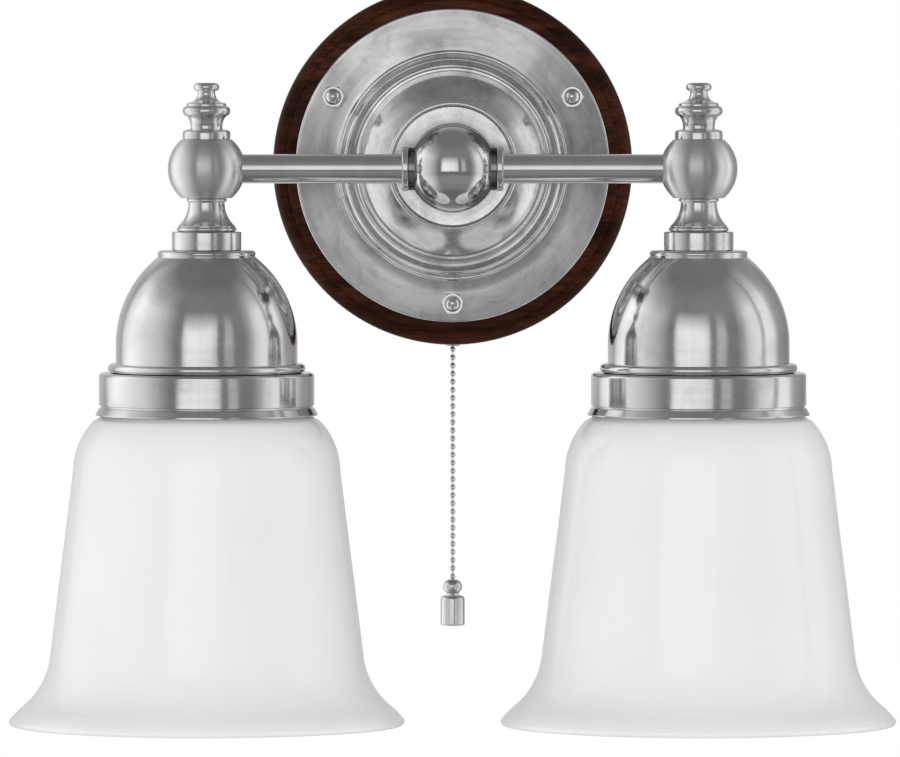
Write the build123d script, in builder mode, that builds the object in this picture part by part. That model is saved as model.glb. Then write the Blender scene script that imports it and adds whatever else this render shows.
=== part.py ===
"""Double arm wall sconce with a turned wooden base, nickelled brass arms and two opal bell shades.

Frame: millimetres, +Z up. The origin is on the wall, in the middle of the round base.
The wall is the plane Y = 0 and the lamp stands out from it towards -Y. "Out" is the distance
from the wall, so a point that is out by d lies at Y = -d. Both lamp axes are vertical and stand
at X = -lamp_spacing / 2 and X = +lamp_spacing / 2, and the hub is midway between them at Z = 0.
"""

import os
from math import cos, radians, sin, sqrt

from build123d import *

os.makedirs("parts", exist_ok=True)

# ---------------------------------------------------------------- driving dimensions (mm)
# The whole lamp
lamp_spacing = 202.0  # from one lamp axis to the other
projection = 100.0  # from the wall to the hub and the lamp axes
thread_gap = 0.05  # radial clearance of parts that screw, slide or push together

# Wooden base
wood_diameter = 150.0
wood_thickness = 25.0
wood_edge_round = 5.0  # quarter round on the front edge
wood_step_inset = 6.0  # from the edge to the raised face
wood_step_height = 1.2
well_diameter = 84.0  # through the middle, for the switch and the wiring

# Steel wall bracket, let into the back of the wood
bracket_diameter = 102.0
bracket_thickness = 2.0
bracket_gap = 0.3  # round the bracket in its rebate
wall_screw_spacing = 60.0
wall_slot_width = 4.5
wall_slot_length = 12.0
cable_hole_height = 23.0  # cable entry above the middle of the bracket
cable_hole_diameter = 14.0
wood_screw_inset = 5.0  # from the bracket's edge to the middle of the wood screws
wood_screw_count = 4
wood_screw_turn = 45  # degrees from level to the first screw
wood_screw_diameter = 3.5
wood_screw_head = 6.8
wood_screw_length = 14.0

# Rubber cable grommet
grommet_bore = 8.0
grommet_flange = 18.0
grommet_lip = 1.2

# Studs and cap nuts that hold the back plate on the wood
stud_inset = 8.0  # from the plate's edge to the middle of the studs
stud_count = 3
stud_turn = 30  # degrees from level to the first stud
stud_diameter = 5.0
stud_depth = 12.0  # in the wood
stud_rise = 8.0  # in front of the wood
nut_across_flats = 8.4
nut_hex_height = 4.2
nut_dome_diameter = 6.6
nut_dome_height = 4.6

# Spun back plate
plate_diameter = 131.0
plate_sheet = 1.2
plate_rise_gap = 0.3  # from the cap nuts' flats to where the flat margin starts to rise
rise_width = 4.8  # from the flat margin to the outer bead
outer_bead_width = 2.2
outer_bead_height = 0.9
bead_valley_width = 0.3
inner_bead_width = 5.0
inner_bead_height = 1.9
margin_rise = 0.5  # from the flat margin to the foot of the beads
dish_inset = 0.8  # from the inner bead to the foot of the slope
dish_drop = 0.6
boss_bead_diameter = 54.4
boss_bead_width = 2.6
boss_bead_height = 1.0
boss_rise = 10.0  # from the foot of the slope to the flat boss

# Turned stem between the plate and the hub
stem_foot_diameter = 36.0
stem_foot_height = 1.4
stem_cove_height = 12.0
stem_column_diameter = 20.0
stem_bead_diameter = 25.0
stem_bead_height = 3.0
stem_bead_spacing = 26.0  # from the lower bead to the upper one

# Threaded pipe that carries the hub and the wires
pipe_diameter = 10.0
pipe_bore = 7.0
pipe_nut_across_flats = 14.0
pipe_nut_height = 2.5
pipe_tail = 4.0  # behind the nut

# Hub ball
hub_diameter = 36.0
hub_cavity_diameter = 27.0
hub_neck_diameter = 17.6
hub_boss_diameter = 20.0
hub_boss_flat = 0.6  # its face inside the ball's own reach towards the wall

# Arms
arm_diameter = 12.0
arm_wall = 1.0
arm_insert = 5.2  # length of tube that screws into the hub
arm_nut_diameter = 18.2
arm_nut_width = 2.8
arm_nut_round = 0.8

# Ball at the end of each arm
ball_diameter = 31.8
ball_flat_height = 24.0  # between its flat top and bottom
ball_cavity_diameter = 21.0
arm_end_gap = 8.8  # from the lamp axis to the end of the arm tube

# Finial on the ball
finial_ring_diameter = 19.6
finial_ring_height = 4.3
finial_ring_side = 2.8  # upright part of the ring
finial_waist_diameter = 13.2
finial_waist_height = 6.2  # these heights are above the foot
finial_belly_diameter = 19.7
finial_belly_height = 11.3
finial_ridge_diameter = 16.0
finial_ridge_height = 14.5
finial_throat_diameter = 7.2
finial_throat_height = 18.8
finial_button_diameter = 10.5
finial_button_height = 21.3
finial_top_diameter = 6.4
finial_height = 23.3
finial_bore_depth = 10.5

# Neck under the ball
neck_height = 13.8
neck_astragal_width = 1.9
neck_astragal_face = 16.6  # across its top face
neck_astragal_bulge = 0.5
neck_waist_diameter = 16.2
neck_flare_hollow = 0.9  # how deep the flare's curve is
neck_ring_diameter = 24.6
neck_ring_width = 2.1
neck_shoulder_diameter = 22.6

# Collar under the neck
collar_diameter = 28.5
collar_height = 7.7
collar_round = 0.5

# Spun dome over the lampholder
dome_sheet = 1.0
dome_top_diameter = 37.4
dome_lip_diameter = 39.8
dome_lip_height = 2.0
dome_lip_bulge = 0.7
dome_start_diameter = 40.2
dome_start_drop = 2.8  # below the top
dome_diameter = 74.6
dome_curve_drop = 38.4  # where the curved side becomes upright
dome_drop = 46.4  # where the upright side ends
dome_bead_diameter = 81.2
dome_bead_height = 3.8

# Gallery that the shade screws into
gallery_sheet = 1.0
gallery_diameter = 88.4
gallery_shoulder = 1.4
gallery_height = 17.4
gallery_flange_bore = 68.0
gallery_groove_rise = 3.6  # groove above the lower edge
gallery_groove_depth = 0.6
gallery_rim_flare = 1.4  # from the band out to the rim

# Rubber ring between the gallery and the glass
gasket_thickness = 2.0
gasket_width = 5.5
gasket_gap = 0.3  # over and under the ring

# Opal glass shade, in steps out from the side of its neck and drops below the neck's top edge
glass_wall = 3.0
glass_neck_gap = 1.3  # round the neck in the gallery
glass_neck_drop = 12.9
glass_foot_step = 3.4
glass_foot_drop = 15.6
glass_shoulder_step = 9.0
glass_shoulder_drop = 22.0
glass_body_step = 13.0
glass_body_drop = 36.4
glass_flare_step = 22.4
glass_flare_drop = 111.9
glass_curl_step = 27.1
glass_curl_drop = 126.3
glass_lip_step = 35.1
glass_lip_drop = 134.6
glass_edge_step = 39.7
glass_drop = 139.6

# Lampholder in each dome
holder_gap = 0.5  # under the dome's top
holder_top_diameter = 18.0
holder_diameter = 39.0
holder_cap_wall = 2.2
holder_cap_slope = 9.0
holder_cap_height = 15.0
holder_body_height = 46.0
holder_mouth_diameter = 28.4
holder_mouth_depth = 25.0
shell_bore = 26.7  # inside the screw shell
shell_sheet = 0.5
shell_inset = 1.0  # below the shell, to the mouth
shell_gap = 0.6  # above the shell, to the contact
contact_diameter = 7.0
contact_height = 2.4
holder_pipe_depth = 9.0  # pipe's end below the dome's top

# Wiring
lead_diameter = 2.8
lead_offset = 1.6  # each lead beside the pipe's middle
lead_bend = 6.0

# Terminal block
terminal_width = 26.0
terminal_depth = 14.0
terminal_height = 13.0
terminal_corner = 1.5
terminal_poles = 3
terminal_pitch = 8.0
terminal_screw_diameter = 3.0
terminal_screw_depth = 5.0  # of its hole
terminal_screw_sink = 1.0  # from the hole's mouth to the screw

# Pull switch
chain_out = 9.0  # chain's distance from the wall
switch_width = 28.0
switch_depth = 12.6
switch_cover_thickness = 1.5
switch_wall = 1.6
switch_top = -14.5  # height of its upper face
plunger_rod_diameter = 2.4
plunger_rod_gap = 0.4  # round the rod in the housing's floor
plunger_head_diameter = 6.6
plunger_head_height = 2.6
plunger_head_drop = 3.2  # under the inside of the housing's top
plunger_tail = 6.0  # below the housing
pull_travel = 8.0
spring_pressed_height = 8.0  # under the head at the end of its travel
spring_diameter = 6.0
spring_wire = 0.6
spring_turns = 6
cam_diameter = 8.0
cam_width = 3.2
cam_offset = 8.2  # beside the plunger
cam_drop = 9.0  # below the switch's top
cam_pin_diameter = 2.0
contact_strip_width = 4.0
contact_strip_thickness = 0.6

# Ferrule, bead chain and weight
ferrule_diameter = 4.8
ferrule_bore = 3.2
ferrule_lip_diameter = 6.2
ferrule_lip_height = 0.9
bead_diameter = 2.4
bead_pitch = 3.4
link_diameter = 0.9
bead_count = 28  # under the bead that the chain swings on
pivot_drop = 1.3  # swinging bead's middle below the ferrule
link_gap = 0.3
weight_ball_diameter = 7.4
weight_ball_height = 6.0
weight_ball_middle = 3.3  # widest this far below its top
weight_neck_diameter = 5.1
weight_neck_height = 0.9
weight_diameter = 10.1
weight_shoulder_height = 2.0
weight_body_height = 10.4

# ---------------------------------------------------------------- planes, axes and levels
SIDES = (("left", -1), ("right", 1))

rosette_plane = Plane(origin=(0, 0, 0), x_dir=(1, 0, 0), z_dir=(0, 0, -1))  # across, out
rosette_axis = Axis((0, 0, 0), (0, -1, 0))
arm_plane = Plane(origin=(0, -projection, 0), x_dir=(1, 0, 0), z_dir=(0, -1, 0))  # across, up
arm_axis = Axis((0, -projection, 0), (1, 0, 0))
chain_plane = Plane(origin=(0, -chain_out, 0), x_dir=(1, 0, 0), z_dir=(0, -1, 0))
chain_axis = Axis((0, -chain_out, 0), (0, 0, 1))

lamp_plane = {}
lamp_axis = {}
for side, way in SIDES:
    lamp_origin = (way * lamp_spacing / 2, -projection, 0)
    lamp_plane[side] = Plane(origin=lamp_origin, x_dir=(1, 0, 0), z_dir=(0, -1, 0))
    lamp_axis[side] = Axis(lamp_origin, (0, 0, 1))

# circles on the rosette
wood_screw_circle_diameter = bracket_diameter - 2 * wood_screw_inset
stud_circle_diameter = plate_diameter - 2 * stud_inset
plate_rise_diameter = stud_circle_diameter - nut_across_flats - 2 * plate_rise_gap
outer_bead_diameter = plate_rise_diameter - 2 * rise_width
inner_bead_diameter = outer_bead_diameter - 2 * (outer_bead_width + bead_valley_width)
dish_diameter = inner_bead_diameter - 2 * (inner_bead_width + dish_inset)

# distances from the wall
plate_margin_out = wood_thickness + plate_sheet
bead_foot_out = plate_margin_out + margin_rise
dish_out = bead_foot_out - dish_drop
boss_out = dish_out + boss_rise
hub_neck_reach = hub_diameter / 2
hub_boss_reach = hub_neck_reach - hub_boss_flat
hub_boss_out = projection - hub_boss_reach
pipe_nut_out = boss_out - plate_sheet - pipe_nut_height

# heights
ball_top = ball_flat_height / 2
ball_bottom = -ball_flat_height / 2
collar_top = ball_bottom - neck_height
dome_top = collar_top - collar_height
gallery_top = dome_top - dome_drop - dome_bead_height
gallery_bottom = gallery_top - gallery_height
gasket_top = gallery_top - gallery_sheet - gasket_gap
glass_top = gasket_top - gasket_thickness - gasket_gap
holder_top = dome_top - dome_sheet - holder_gap
holder_body_top = holder_top - holder_cap_height
holder_bottom = holder_body_top - holder_body_height
pipe_bottom = dome_top - holder_pipe_depth
plunger_room = plunger_head_drop + plunger_head_height + pull_travel + spring_pressed_height
switch_height = 2 * switch_wall + plunger_room
switch_bottom = switch_top - switch_height
plunger_head_top = switch_top - switch_wall - plunger_head_drop
plunger_head_bottom = plunger_head_top - plunger_head_height
plunger_bottom = switch_bottom - plunger_tail
wood_bottom = -wood_diameter / 2
ferrule_bottom = wood_bottom - ferrule_lip_height
pivot_height = ferrule_bottom - pivot_drop
pipe_hole = pipe_diameter / 2 + thread_gap
bead_reach = sqrt(bead_diameter**2 - link_diameter**2) / 2  # bead's middle to where a link starts
upper_bead_count = int((plunger_bottom - pivot_height - bead_diameter / 2) / bead_pitch)
chain_bottom = pivot_height - bead_count * bead_pitch - bead_diameter / 2


def save(piece, label):
    """Name a finished piece and write it to its own file."""
    piece.part.label = label
    export_step(piece.part, f"parts/{label}.step")


def on_circle(diameter, count, start, number):
    """Place across and up of one of several even steps round a circle, in degrees from level."""
    turn = radians(start + 360 * number / count)
    return diameter / 2 * cos(turn), diameter / 2 * sin(turn)


def beads(first, count):
    """Outline of beads on a link wire, drawn downwards from the first bead's middle."""
    for number in range(count):
        middle = first - number * bead_pitch
        above = (link_diameter / 2, middle + bead_reach)
        below = (link_diameter / 2, middle - bead_reach)
        ThreePointArc(above, (bead_diameter / 2, middle), below)
        if number < count - 1:
            Line(below, (link_diameter / 2, middle - bead_pitch + bead_reach))


# ================================================================ at the wall
# Turned wooden base: a ring with a stepped, rounded front edge and a rebate for the bracket
with BuildPart() as wooden_base:
    edge = wood_diameter / 2
    face = edge - wood_step_inset
    step_out = wood_thickness - wood_step_height
    rebate = bracket_diameter / 2 + bracket_gap
    with BuildSketch(rosette_plane):
        with BuildLine():
            round_start = (edge, step_out - wood_edge_round)
            round_end = (edge - wood_edge_round, step_out)
            Line((edge, 0), round_start)
            RadiusArc(round_start, round_end, -wood_edge_round)
            Line(round_end, (face, step_out))
            RadiusArc((face, step_out), (face - wood_step_height, wood_thickness), -wood_step_height)
            Polyline(
                (face - wood_step_height, wood_thickness),
                (well_diameter / 2, wood_thickness),
                (well_diameter / 2, bracket_thickness),
                (rebate, bracket_thickness),
                (rebate, 0),
                (edge, 0),
            )
        make_face()
    revolve(axis=rosette_axis)
    # blind holes for the studs, from the front
    with BuildSketch(Plane.XZ.offset(wood_thickness)):
        with PolarLocations(stud_circle_diameter / 2, stud_count, start_angle=stud_turn):
            Circle(stud_diameter / 2 + thread_gap)
    extrude(amount=-stud_depth, mode=Mode.SUBTRACT)
    # blind holes for the bracket's screws, from the back
    with BuildSketch(Plane.XZ.offset(bracket_thickness)):
        with PolarLocations(wood_screw_circle_diameter / 2, wood_screw_count, start_angle=wood_screw_turn):
            Circle(wood_screw_diameter / 2 + thread_gap)
    extrude(amount=wood_screw_length - bracket_thickness + thread_gap, mode=Mode.SUBTRACT)
    # tunnel for the chain's ferrule, down to the bottom edge
    with BuildSketch(Plane(origin=(0, -chain_out, 0), z_dir=(0, 0, -1))):
        Circle(ferrule_diameter / 2 + thread_gap)
    extrude(amount=wood_diameter, mode=Mode.SUBTRACT)
save(wooden_base, "wooden_base")

# Wall bracket: a steel disc with two slots for the wall screws and a cable hole
with BuildPart() as wall_bracket:
    with BuildSketch(Plane.XZ):
        Circle(bracket_diameter / 2)
        with Locations((-wall_screw_spacing / 2, 0), (wall_screw_spacing / 2, 0)):
            SlotOverall(wall_slot_length, wall_slot_width, mode=Mode.SUBTRACT)
        with Locations((0, cable_hole_height)):
            Circle(cable_hole_diameter / 2, mode=Mode.SUBTRACT)
    extrude(amount=bracket_thickness)
    # countersunk screw holes: their wide end is on the wall side
    with BuildSketch(Plane.XZ):
        with PolarLocations(wood_screw_circle_diameter / 2, wood_screw_count, start_angle=wood_screw_turn):
            Circle(wood_screw_diameter / 2 + thread_gap)
    extrude(amount=bracket_thickness, mode=Mode.SUBTRACT)
    for number in range(wood_screw_count):
        across, up = on_circle(wood_screw_circle_diameter, wood_screw_count, wood_screw_turn, number)
        with BuildSketch(Plane(origin=(across, 0, up), x_dir=(1, 0, 0), z_dir=(0, 0, -1))):
            with BuildLine():
                Polyline(
                    (0, 0),
                    (wood_screw_head / 2 + thread_gap, 0),
                    (0, wood_screw_head / 2 + thread_gap),
                    close=True,
                )
            make_face()
        revolve(axis=Axis((across, 0, up), (0, -1, 0)), mode=Mode.SUBTRACT)
save(wall_bracket, "wall_bracket")

# Countersunk wood screws that hold the bracket in its rebate
with BuildPart() as bracket_screws:
    for number in range(wood_screw_count):
        across, up = on_circle(wood_screw_circle_diameter, wood_screw_count, wood_screw_turn, number)
        head_depth = (wood_screw_head - wood_screw_diameter) / 2
        with BuildSketch(Plane(origin=(across, 0, up), x_dir=(1, 0, 0), z_dir=(0, 0, -1))):
            with BuildLine():
                Polyline(
                    (0, 0),
                    (wood_screw_head / 2, 0),
                    (wood_screw_diameter / 2, head_depth),
                    (wood_screw_diameter / 2, wood_screw_length - wood_screw_diameter),
                    (0, wood_screw_length),
                    close=True,
                )
            make_face()
        revolve(axis=Axis((across, 0, up), (0, -1, 0)))
save(bracket_screws, "bracket_screws")

# Rubber grommet in the bracket's cable hole: two flanges on a short sleeve
with BuildPart() as cable_grommet:
    grommet_plane = Plane(origin=(0, 0, cable_hole_height), x_dir=(1, 0, 0), z_dir=(0, 0, -1))
    sleeve = cable_hole_diameter / 2 - thread_gap
    with BuildSketch(grommet_plane):
        with BuildLine():
            Polyline(
                (grommet_bore / 2, 0),
                (sleeve, 0),
                (sleeve, bracket_thickness),
                (grommet_flange / 2, bracket_thickness),
                (grommet_flange / 2, bracket_thickness + grommet_lip),
                (grommet_bore / 2 + grommet_lip, bracket_thickness + 2 * grommet_lip),
                (grommet_bore / 2, bracket_thickness + 2 * grommet_lip),
                close=True,
            )
        make_face()
    revolve(axis=Axis((0, 0, cable_hole_height), (0, -1, 0)))
save(cable_grommet, "cable_grommet")

# Studs set in the wood
with BuildPart() as base_studs:
    with BuildSketch(Plane.XZ.offset(wood_thickness - stud_depth)):
        with PolarLocations(stud_circle_diameter / 2, stud_count, start_angle=stud_turn):
            Circle(stud_diameter / 2)
    extrude(amount=stud_depth + stud_rise)
    chamfer(base_studs.faces().sort_by(Axis.Y)[:stud_count].edges(), stud_diameter / 10)
save(base_studs, "base_studs")

# Cap nuts: a hexagon with a domed cap, on the front of the back plate
with BuildPart() as cap_nuts:
    with BuildSketch(Plane.XZ.offset(plate_margin_out)):
        with PolarLocations(stud_circle_diameter / 2, stud_count, start_angle=stud_turn, rotate=False):
            RegularPolygon(nut_across_flats / 2, 6, major_radius=False)
    extrude(amount=nut_hex_height)
    chamfer(cap_nuts.faces().sort_by(Axis.Y)[:stud_count].edges(), nut_hex_height / 9)
    for number in range(stud_count):
        across, up = on_circle(stud_circle_diameter, stud_count, stud_turn, number)
        dome_base = plate_margin_out + nut_hex_height
        dome_side = nut_dome_height - nut_dome_diameter / 2
        nut_axis = Axis((across, 0, up), (0, -1, 0))
        with BuildSketch(Plane(origin=(across, 0, up), x_dir=(1, 0, 0), z_dir=(0, 0, -1))):
            with BuildLine():
                Line((0, dome_base), (nut_dome_diameter / 2, dome_base))
                Line((nut_dome_diameter / 2, dome_base), (nut_dome_diameter / 2, dome_base + dome_side))
                RadiusArc(
                    (nut_dome_diameter / 2, dome_base + dome_side),
                    (0, dome_base + nut_dome_height),
                    -nut_dome_diameter / 2,
                )
                Line((0, dome_base + nut_dome_height), (0, dome_base))
            make_face()
        revolve(axis=nut_axis)
    with BuildSketch(Plane.XZ.offset(plate_margin_out)):
        with PolarLocations(stud_circle_diameter / 2, stud_count, start_angle=stud_turn):
            Circle(stud_diameter / 2 + thread_gap)
    extrude(amount=stud_rise - plate_sheet + thread_gap, mode=Mode.SUBTRACT)
save(cap_nuts, "cap_nuts")

# Spun back plate: flat margin, two beads, a slope up to a flat boss with its own bead
with BuildPart() as back_plate:
    rim = plate_diameter / 2
    rise = plate_rise_diameter / 2
    outer_bead = outer_bead_diameter / 2
    inner_bead = inner_bead_diameter / 2
    dish = dish_diameter / 2
    boss = boss_bead_diameter / 2
    boss_inside = boss - boss_bead_width
    valley = (outer_bead - outer_bead_width, bead_foot_out + outer_bead_height / 3)
    with BuildSketch(rosette_plane):
        with BuildLine():
            Line((rim, wood_thickness), (rim, plate_margin_out - plate_sheet / 3))
            Line((rim, plate_margin_out - plate_sheet / 3), (rim - plate_sheet / 3, plate_margin_out))
            Line((rim - plate_sheet / 3, plate_margin_out), (rise, plate_margin_out))
            SagittaArc((rise, plate_margin_out), (outer_bead, bead_foot_out), margin_rise / 5)
            ThreePointArc(
                (outer_bead, bead_foot_out),
                (outer_bead - outer_bead_width / 2, bead_foot_out + outer_bead_height),
                valley,
            )
            Line(valley, (inner_bead, bead_foot_out))
            ThreePointArc(
                (inner_bead, bead_foot_out),
                (inner_bead - inner_bead_width / 3, bead_foot_out + inner_bead_height),
                (inner_bead - inner_bead_width, bead_foot_out),
            )
            Line((inner_bead - inner_bead_width, bead_foot_out), (dish, dish_out))
            SagittaArc((dish, dish_out), (boss, boss_out), -boss_rise / 14)
            ThreePointArc(
                (boss, boss_out),
                (boss - boss_bead_width / 2, boss_out + boss_bead_height),
                (boss_inside, boss_out),
            )
            Polyline(
                (boss_inside, boss_out),
                (pipe_hole, boss_out),
                (pipe_hole, boss_out - plate_sheet),
                (boss_inside, boss_out - plate_sheet),
                (dish - plate_sheet, dish_out - plate_sheet / 2),
                (outer_bead - plate_sheet, dish_out - plate_sheet / 2),
                (rise, wood_thickness),
                (rim, wood_thickness),
            )
        make_face()
    revolve(axis=rosette_axis)
    with BuildSketch(Plane.XZ.offset(wood_thickness)):
        with PolarLocations(stud_circle_diameter / 2, stud_count, start_angle=stud_turn):
            Circle(stud_diameter / 2 + 2 * thread_gap)
    extrude(amount=plate_sheet, mode=Mode.SUBTRACT)
save(back_plate, "back_plate")

# Turned stem: a wide foot, a cove and a column between two beads
with BuildPart() as stem:
    foot = stem_foot_diameter / 2
    column = stem_column_diameter / 2
    bead = stem_bead_diameter / 2
    cove_out = boss_out + stem_foot_height
    lower_bead_out = cove_out + stem_cove_height
    upper_bead_out = lower_bead_out + stem_bead_spacing
    with BuildSketch(rosette_plane):
        with BuildLine():
            Line((foot, boss_out), (foot, cove_out))
            ThreePointArc(
                (foot, cove_out),
                ((foot + 2 * column) / 3, cove_out + stem_cove_height / 3),
                (column, lower_bead_out),
            )
            Line((column, lower_bead_out), (bead - stem_bead_height / 2, lower_bead_out))
            ThreePointArc(
                (bead - stem_bead_height / 2, lower_bead_out),
                (bead, lower_bead_out + stem_bead_height / 2),
                (bead - stem_bead_height / 2, lower_bead_out + stem_bead_height),
            )
            Polyline(
                (bead - stem_bead_height / 2, lower_bead_out + stem_bead_height),
                (column, lower_bead_out + stem_bead_height),
                (column, upper_bead_out),
                (bead - stem_bead_height / 2, upper_bead_out),
            )
            ThreePointArc(
                (bead - stem_bead_height / 2, upper_bead_out),
                (bead, upper_bead_out + stem_bead_height / 2),
                (bead - stem_bead_height / 2, upper_bead_out + stem_bead_height),
            )
            Polyline(
                (bead - stem_bead_height / 2, upper_bead_out + stem_bead_height),
                (column, upper_bead_out + stem_bead_height),
                (column, hub_boss_out),
                (pipe_hole, hub_boss_out),
                (pipe_hole, boss_out),
                (foot, boss_out),
            )
        make_face()
    revolve(axis=rosette_axis)
save(stem, "stem")

# Threaded pipe through the plate and the stem into the hub
with BuildPart() as centre_pipe:
    pipe_back = pipe_nut_out - pipe_tail
    with BuildSketch(Plane.XZ.offset(pipe_back)):
        Circle(pipe_diameter / 2)
        Circle(pipe_bore / 2, mode=Mode.SUBTRACT)
    extrude(amount=projection - hub_cavity_diameter / 2 - pipe_back)
save(centre_pipe, "centre_pipe")

# Nut behind the plate
with BuildPart() as pipe_nut:
    with BuildSketch(Plane.XZ.offset(pipe_nut_out)):
        RegularPolygon(pipe_nut_across_flats / 2, 6, major_radius=False)
        Circle(pipe_hole, mode=Mode.SUBTRACT)
    extrude(amount=pipe_nut_height)
save(pipe_nut, "pipe_nut")

# ================================================================ hub and arms
# Hollow hub ball with a neck for each arm and a boss for the stem
with BuildPart(Plane(origin=(0, -projection, 0))) as hub_ball:
    Sphere(hub_diameter / 2)
    with BuildSketch(Plane.YZ.offset(-hub_neck_reach)):
        with Locations((-projection, 0)):
            Circle(hub_neck_diameter / 2)
    extrude(amount=2 * hub_neck_reach)
    with BuildSketch(Plane.XZ.offset(hub_boss_out)):
        Circle(hub_boss_diameter / 2)
    extrude(amount=hub_boss_reach)
    Sphere(hub_cavity_diameter / 2, mode=Mode.SUBTRACT)
    with BuildSketch(Plane.YZ.offset(-hub_neck_reach)):
        with Locations((-projection, 0)):
            Circle(arm_diameter / 2 + thread_gap)
    extrude(amount=2 * hub_neck_reach, mode=Mode.SUBTRACT)
    with BuildSketch(Plane.XZ.offset(projection - hub_diameter / 2)):
        Circle(pipe_hole)
    extrude(amount=hub_diameter / 2, mode=Mode.SUBTRACT)
save(hub_ball, "hub_ball")

for side, way in SIDES:
    lamp_x = way * lamp_spacing / 2

    # Arm tube, from the hub into the ball at its end
    with BuildPart() as arm_tube:
        arm_start = hub_neck_reach - arm_insert
        arm_length = lamp_spacing / 2 - arm_end_gap - arm_start
        arm_start_plane = Plane(origin=(way * arm_start, -projection, 0), z_dir=(way, 0, 0))
        with BuildSketch(arm_start_plane):
            Circle(arm_diameter / 2)
            Circle(arm_diameter / 2 - arm_wall, mode=Mode.SUBTRACT)
        extrude(amount=arm_length)
    save(arm_tube, f"{side}_arm_tube")

    # Round lock nut that closes the joint between arm and hub
    with BuildPart() as arm_nut:
        with BuildSketch(Plane(origin=(way * hub_neck_reach, -projection, 0), z_dir=(way, 0, 0))):
            Circle(arm_nut_diameter / 2)
            Circle(arm_diameter / 2 + thread_gap, mode=Mode.SUBTRACT)
        extrude(amount=arm_nut_width)
        outer_edges = arm_nut.edges().filter_by(GeomType.CIRCLE).sort_by(SortBy.RADIUS)[-2:]
        fillet(outer_edges, arm_nut_round)
    save(arm_nut, f"{side}_arm_nut")

    # Hollow ball at the arm's end, flat above and below
    with BuildPart(lamp_plane[side]) as end_ball:
        Sphere(ball_diameter / 2)
        with BuildSketch(Plane(origin=(lamp_x, -projection, ball_top))):
            Circle(ball_diameter)
        extrude(amount=ball_diameter, mode=Mode.SUBTRACT)
        with BuildSketch(Plane(origin=(lamp_x, -projection, ball_bottom), z_dir=(0, 0, -1))):
            Circle(ball_diameter)
        extrude(amount=ball_diameter, mode=Mode.SUBTRACT)
        Sphere(ball_cavity_diameter / 2, mode=Mode.SUBTRACT)
        with BuildSketch(Plane(origin=(lamp_x, -projection, ball_bottom))):
            Circle(pipe_hole)
        extrude(amount=ball_flat_height, mode=Mode.SUBTRACT)
        with BuildSketch(Plane(origin=(lamp_x, -projection, 0), z_dir=(-way, 0, 0))):
            Circle(arm_diameter / 2 + thread_gap)
        extrude(amount=ball_diameter, mode=Mode.SUBTRACT)
    save(end_ball, f"{side}_end_ball")

    # ============================================================ each lamp, from the top down
    # Threaded pipe through ball, neck, collar and dome, with a window for the lead
    with BuildPart() as lamp_pipe:
        pipe_top = ball_top + finial_bore_depth - thread_gap
        with BuildSketch(Plane(origin=(lamp_x, -projection, pipe_bottom))):
            Circle(pipe_diameter / 2)
            Circle(pipe_bore / 2, mode=Mode.SUBTRACT)
        extrude(amount=pipe_top - pipe_bottom)
        with BuildSketch(Plane(origin=(lamp_x, -projection, 0), z_dir=(-way, 0, 0))):
            SlotOverall(3 * lead_diameter, 2 * lead_diameter, rotation=90)
        extrude(amount=pipe_diameter, mode=Mode.SUBTRACT)
    save(lamp_pipe, f"{side}_lamp_pipe")

    # Turned finial: ring, waist, belly with a ridge, throat and a flat-topped button
    with BuildPart() as finial:
        ring = finial_ring_diameter / 2
        ring_side_top = ball_top + finial_ring_side
        waist = (finial_waist_diameter / 2, ball_top + finial_waist_height)
        ring_crown = (waist[0], ball_top + finial_ring_height)
        belly = (finial_belly_diameter / 2, ball_top + finial_belly_height)
        ridge = (finial_ridge_diameter / 2, ball_top + finial_ridge_height)
        throat = (finial_throat_diameter / 2, ball_top + finial_throat_height)
        button = (finial_button_diameter / 2, ball_top + finial_button_height)
        button_top = (finial_top_diameter / 2, ball_top + finial_height)
        finial_bore_top = ball_top + finial_bore_depth
        with BuildSketch(lamp_plane[side]):
            with BuildLine():
                Line((ring, ball_top), (ring, ring_side_top))
                SagittaArc((ring, ring_side_top), ring_crown, -(ring - waist[0]) / 6)
                Line(ring_crown, waist)
                ThreePointArc(waist, belly, ridge)
                SagittaArc(ridge, throat, (ridge[0] - throat[0]) / 4)
                ThreePointArc(throat, button, button_top)
                Polyline(
                    button_top,
                    (0, button_top[1]),
                    (0, finial_bore_top),
                    (pipe_hole, finial_bore_top),
                    (pipe_hole, ball_top),
                    (ring, ball_top),
                )
            make_face()
        revolve(axis=lamp_axis[side])
    save(finial, f"{side}_finial")

    # Turned neck: astragal, waist and a flare that ends in a ring
    with BuildPart() as neck:
        astragal = neck_astragal_face / 2
        waist_r = neck_waist_diameter / 2
        flare = neck_shoulder_diameter / 2
        neck_ring = neck_ring_diameter / 2
        ring_height = collar_top + neck_ring_width
        astragal_bottom = ball_bottom - neck_astragal_width
        waist_height = astragal_bottom - neck_astragal_width
        with BuildSketch(lamp_plane[side]):
            with BuildLine():
                Line((pipe_hole, ball_bottom), (astragal, ball_bottom))
                SagittaArc((astragal, ball_bottom), (waist_r, astragal_bottom), neck_astragal_bulge)
                Line((waist_r, astragal_bottom), (waist_r, waist_height))
                SagittaArc((waist_r, waist_height), (flare, ring_height), -neck_flare_hollow)
                Line((flare, ring_height), (neck_ring - neck_ring_width / 2, ring_height))
                ThreePointArc(
                    (neck_ring - neck_ring_width / 2, ring_height),
                    (neck_ring, collar_top + neck_ring_width / 2),
                    (neck_ring - neck_ring_width / 2, collar_top),
                )
                Polyline(
                    (neck_ring - neck_ring_width / 2, collar_top),
                    (pipe_hole, collar_top),
                    (pipe_hole, ball_bottom),
                )
            make_face()
        revolve(axis=lamp_axis[side])
    save(neck, f"{side}_neck")

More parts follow.
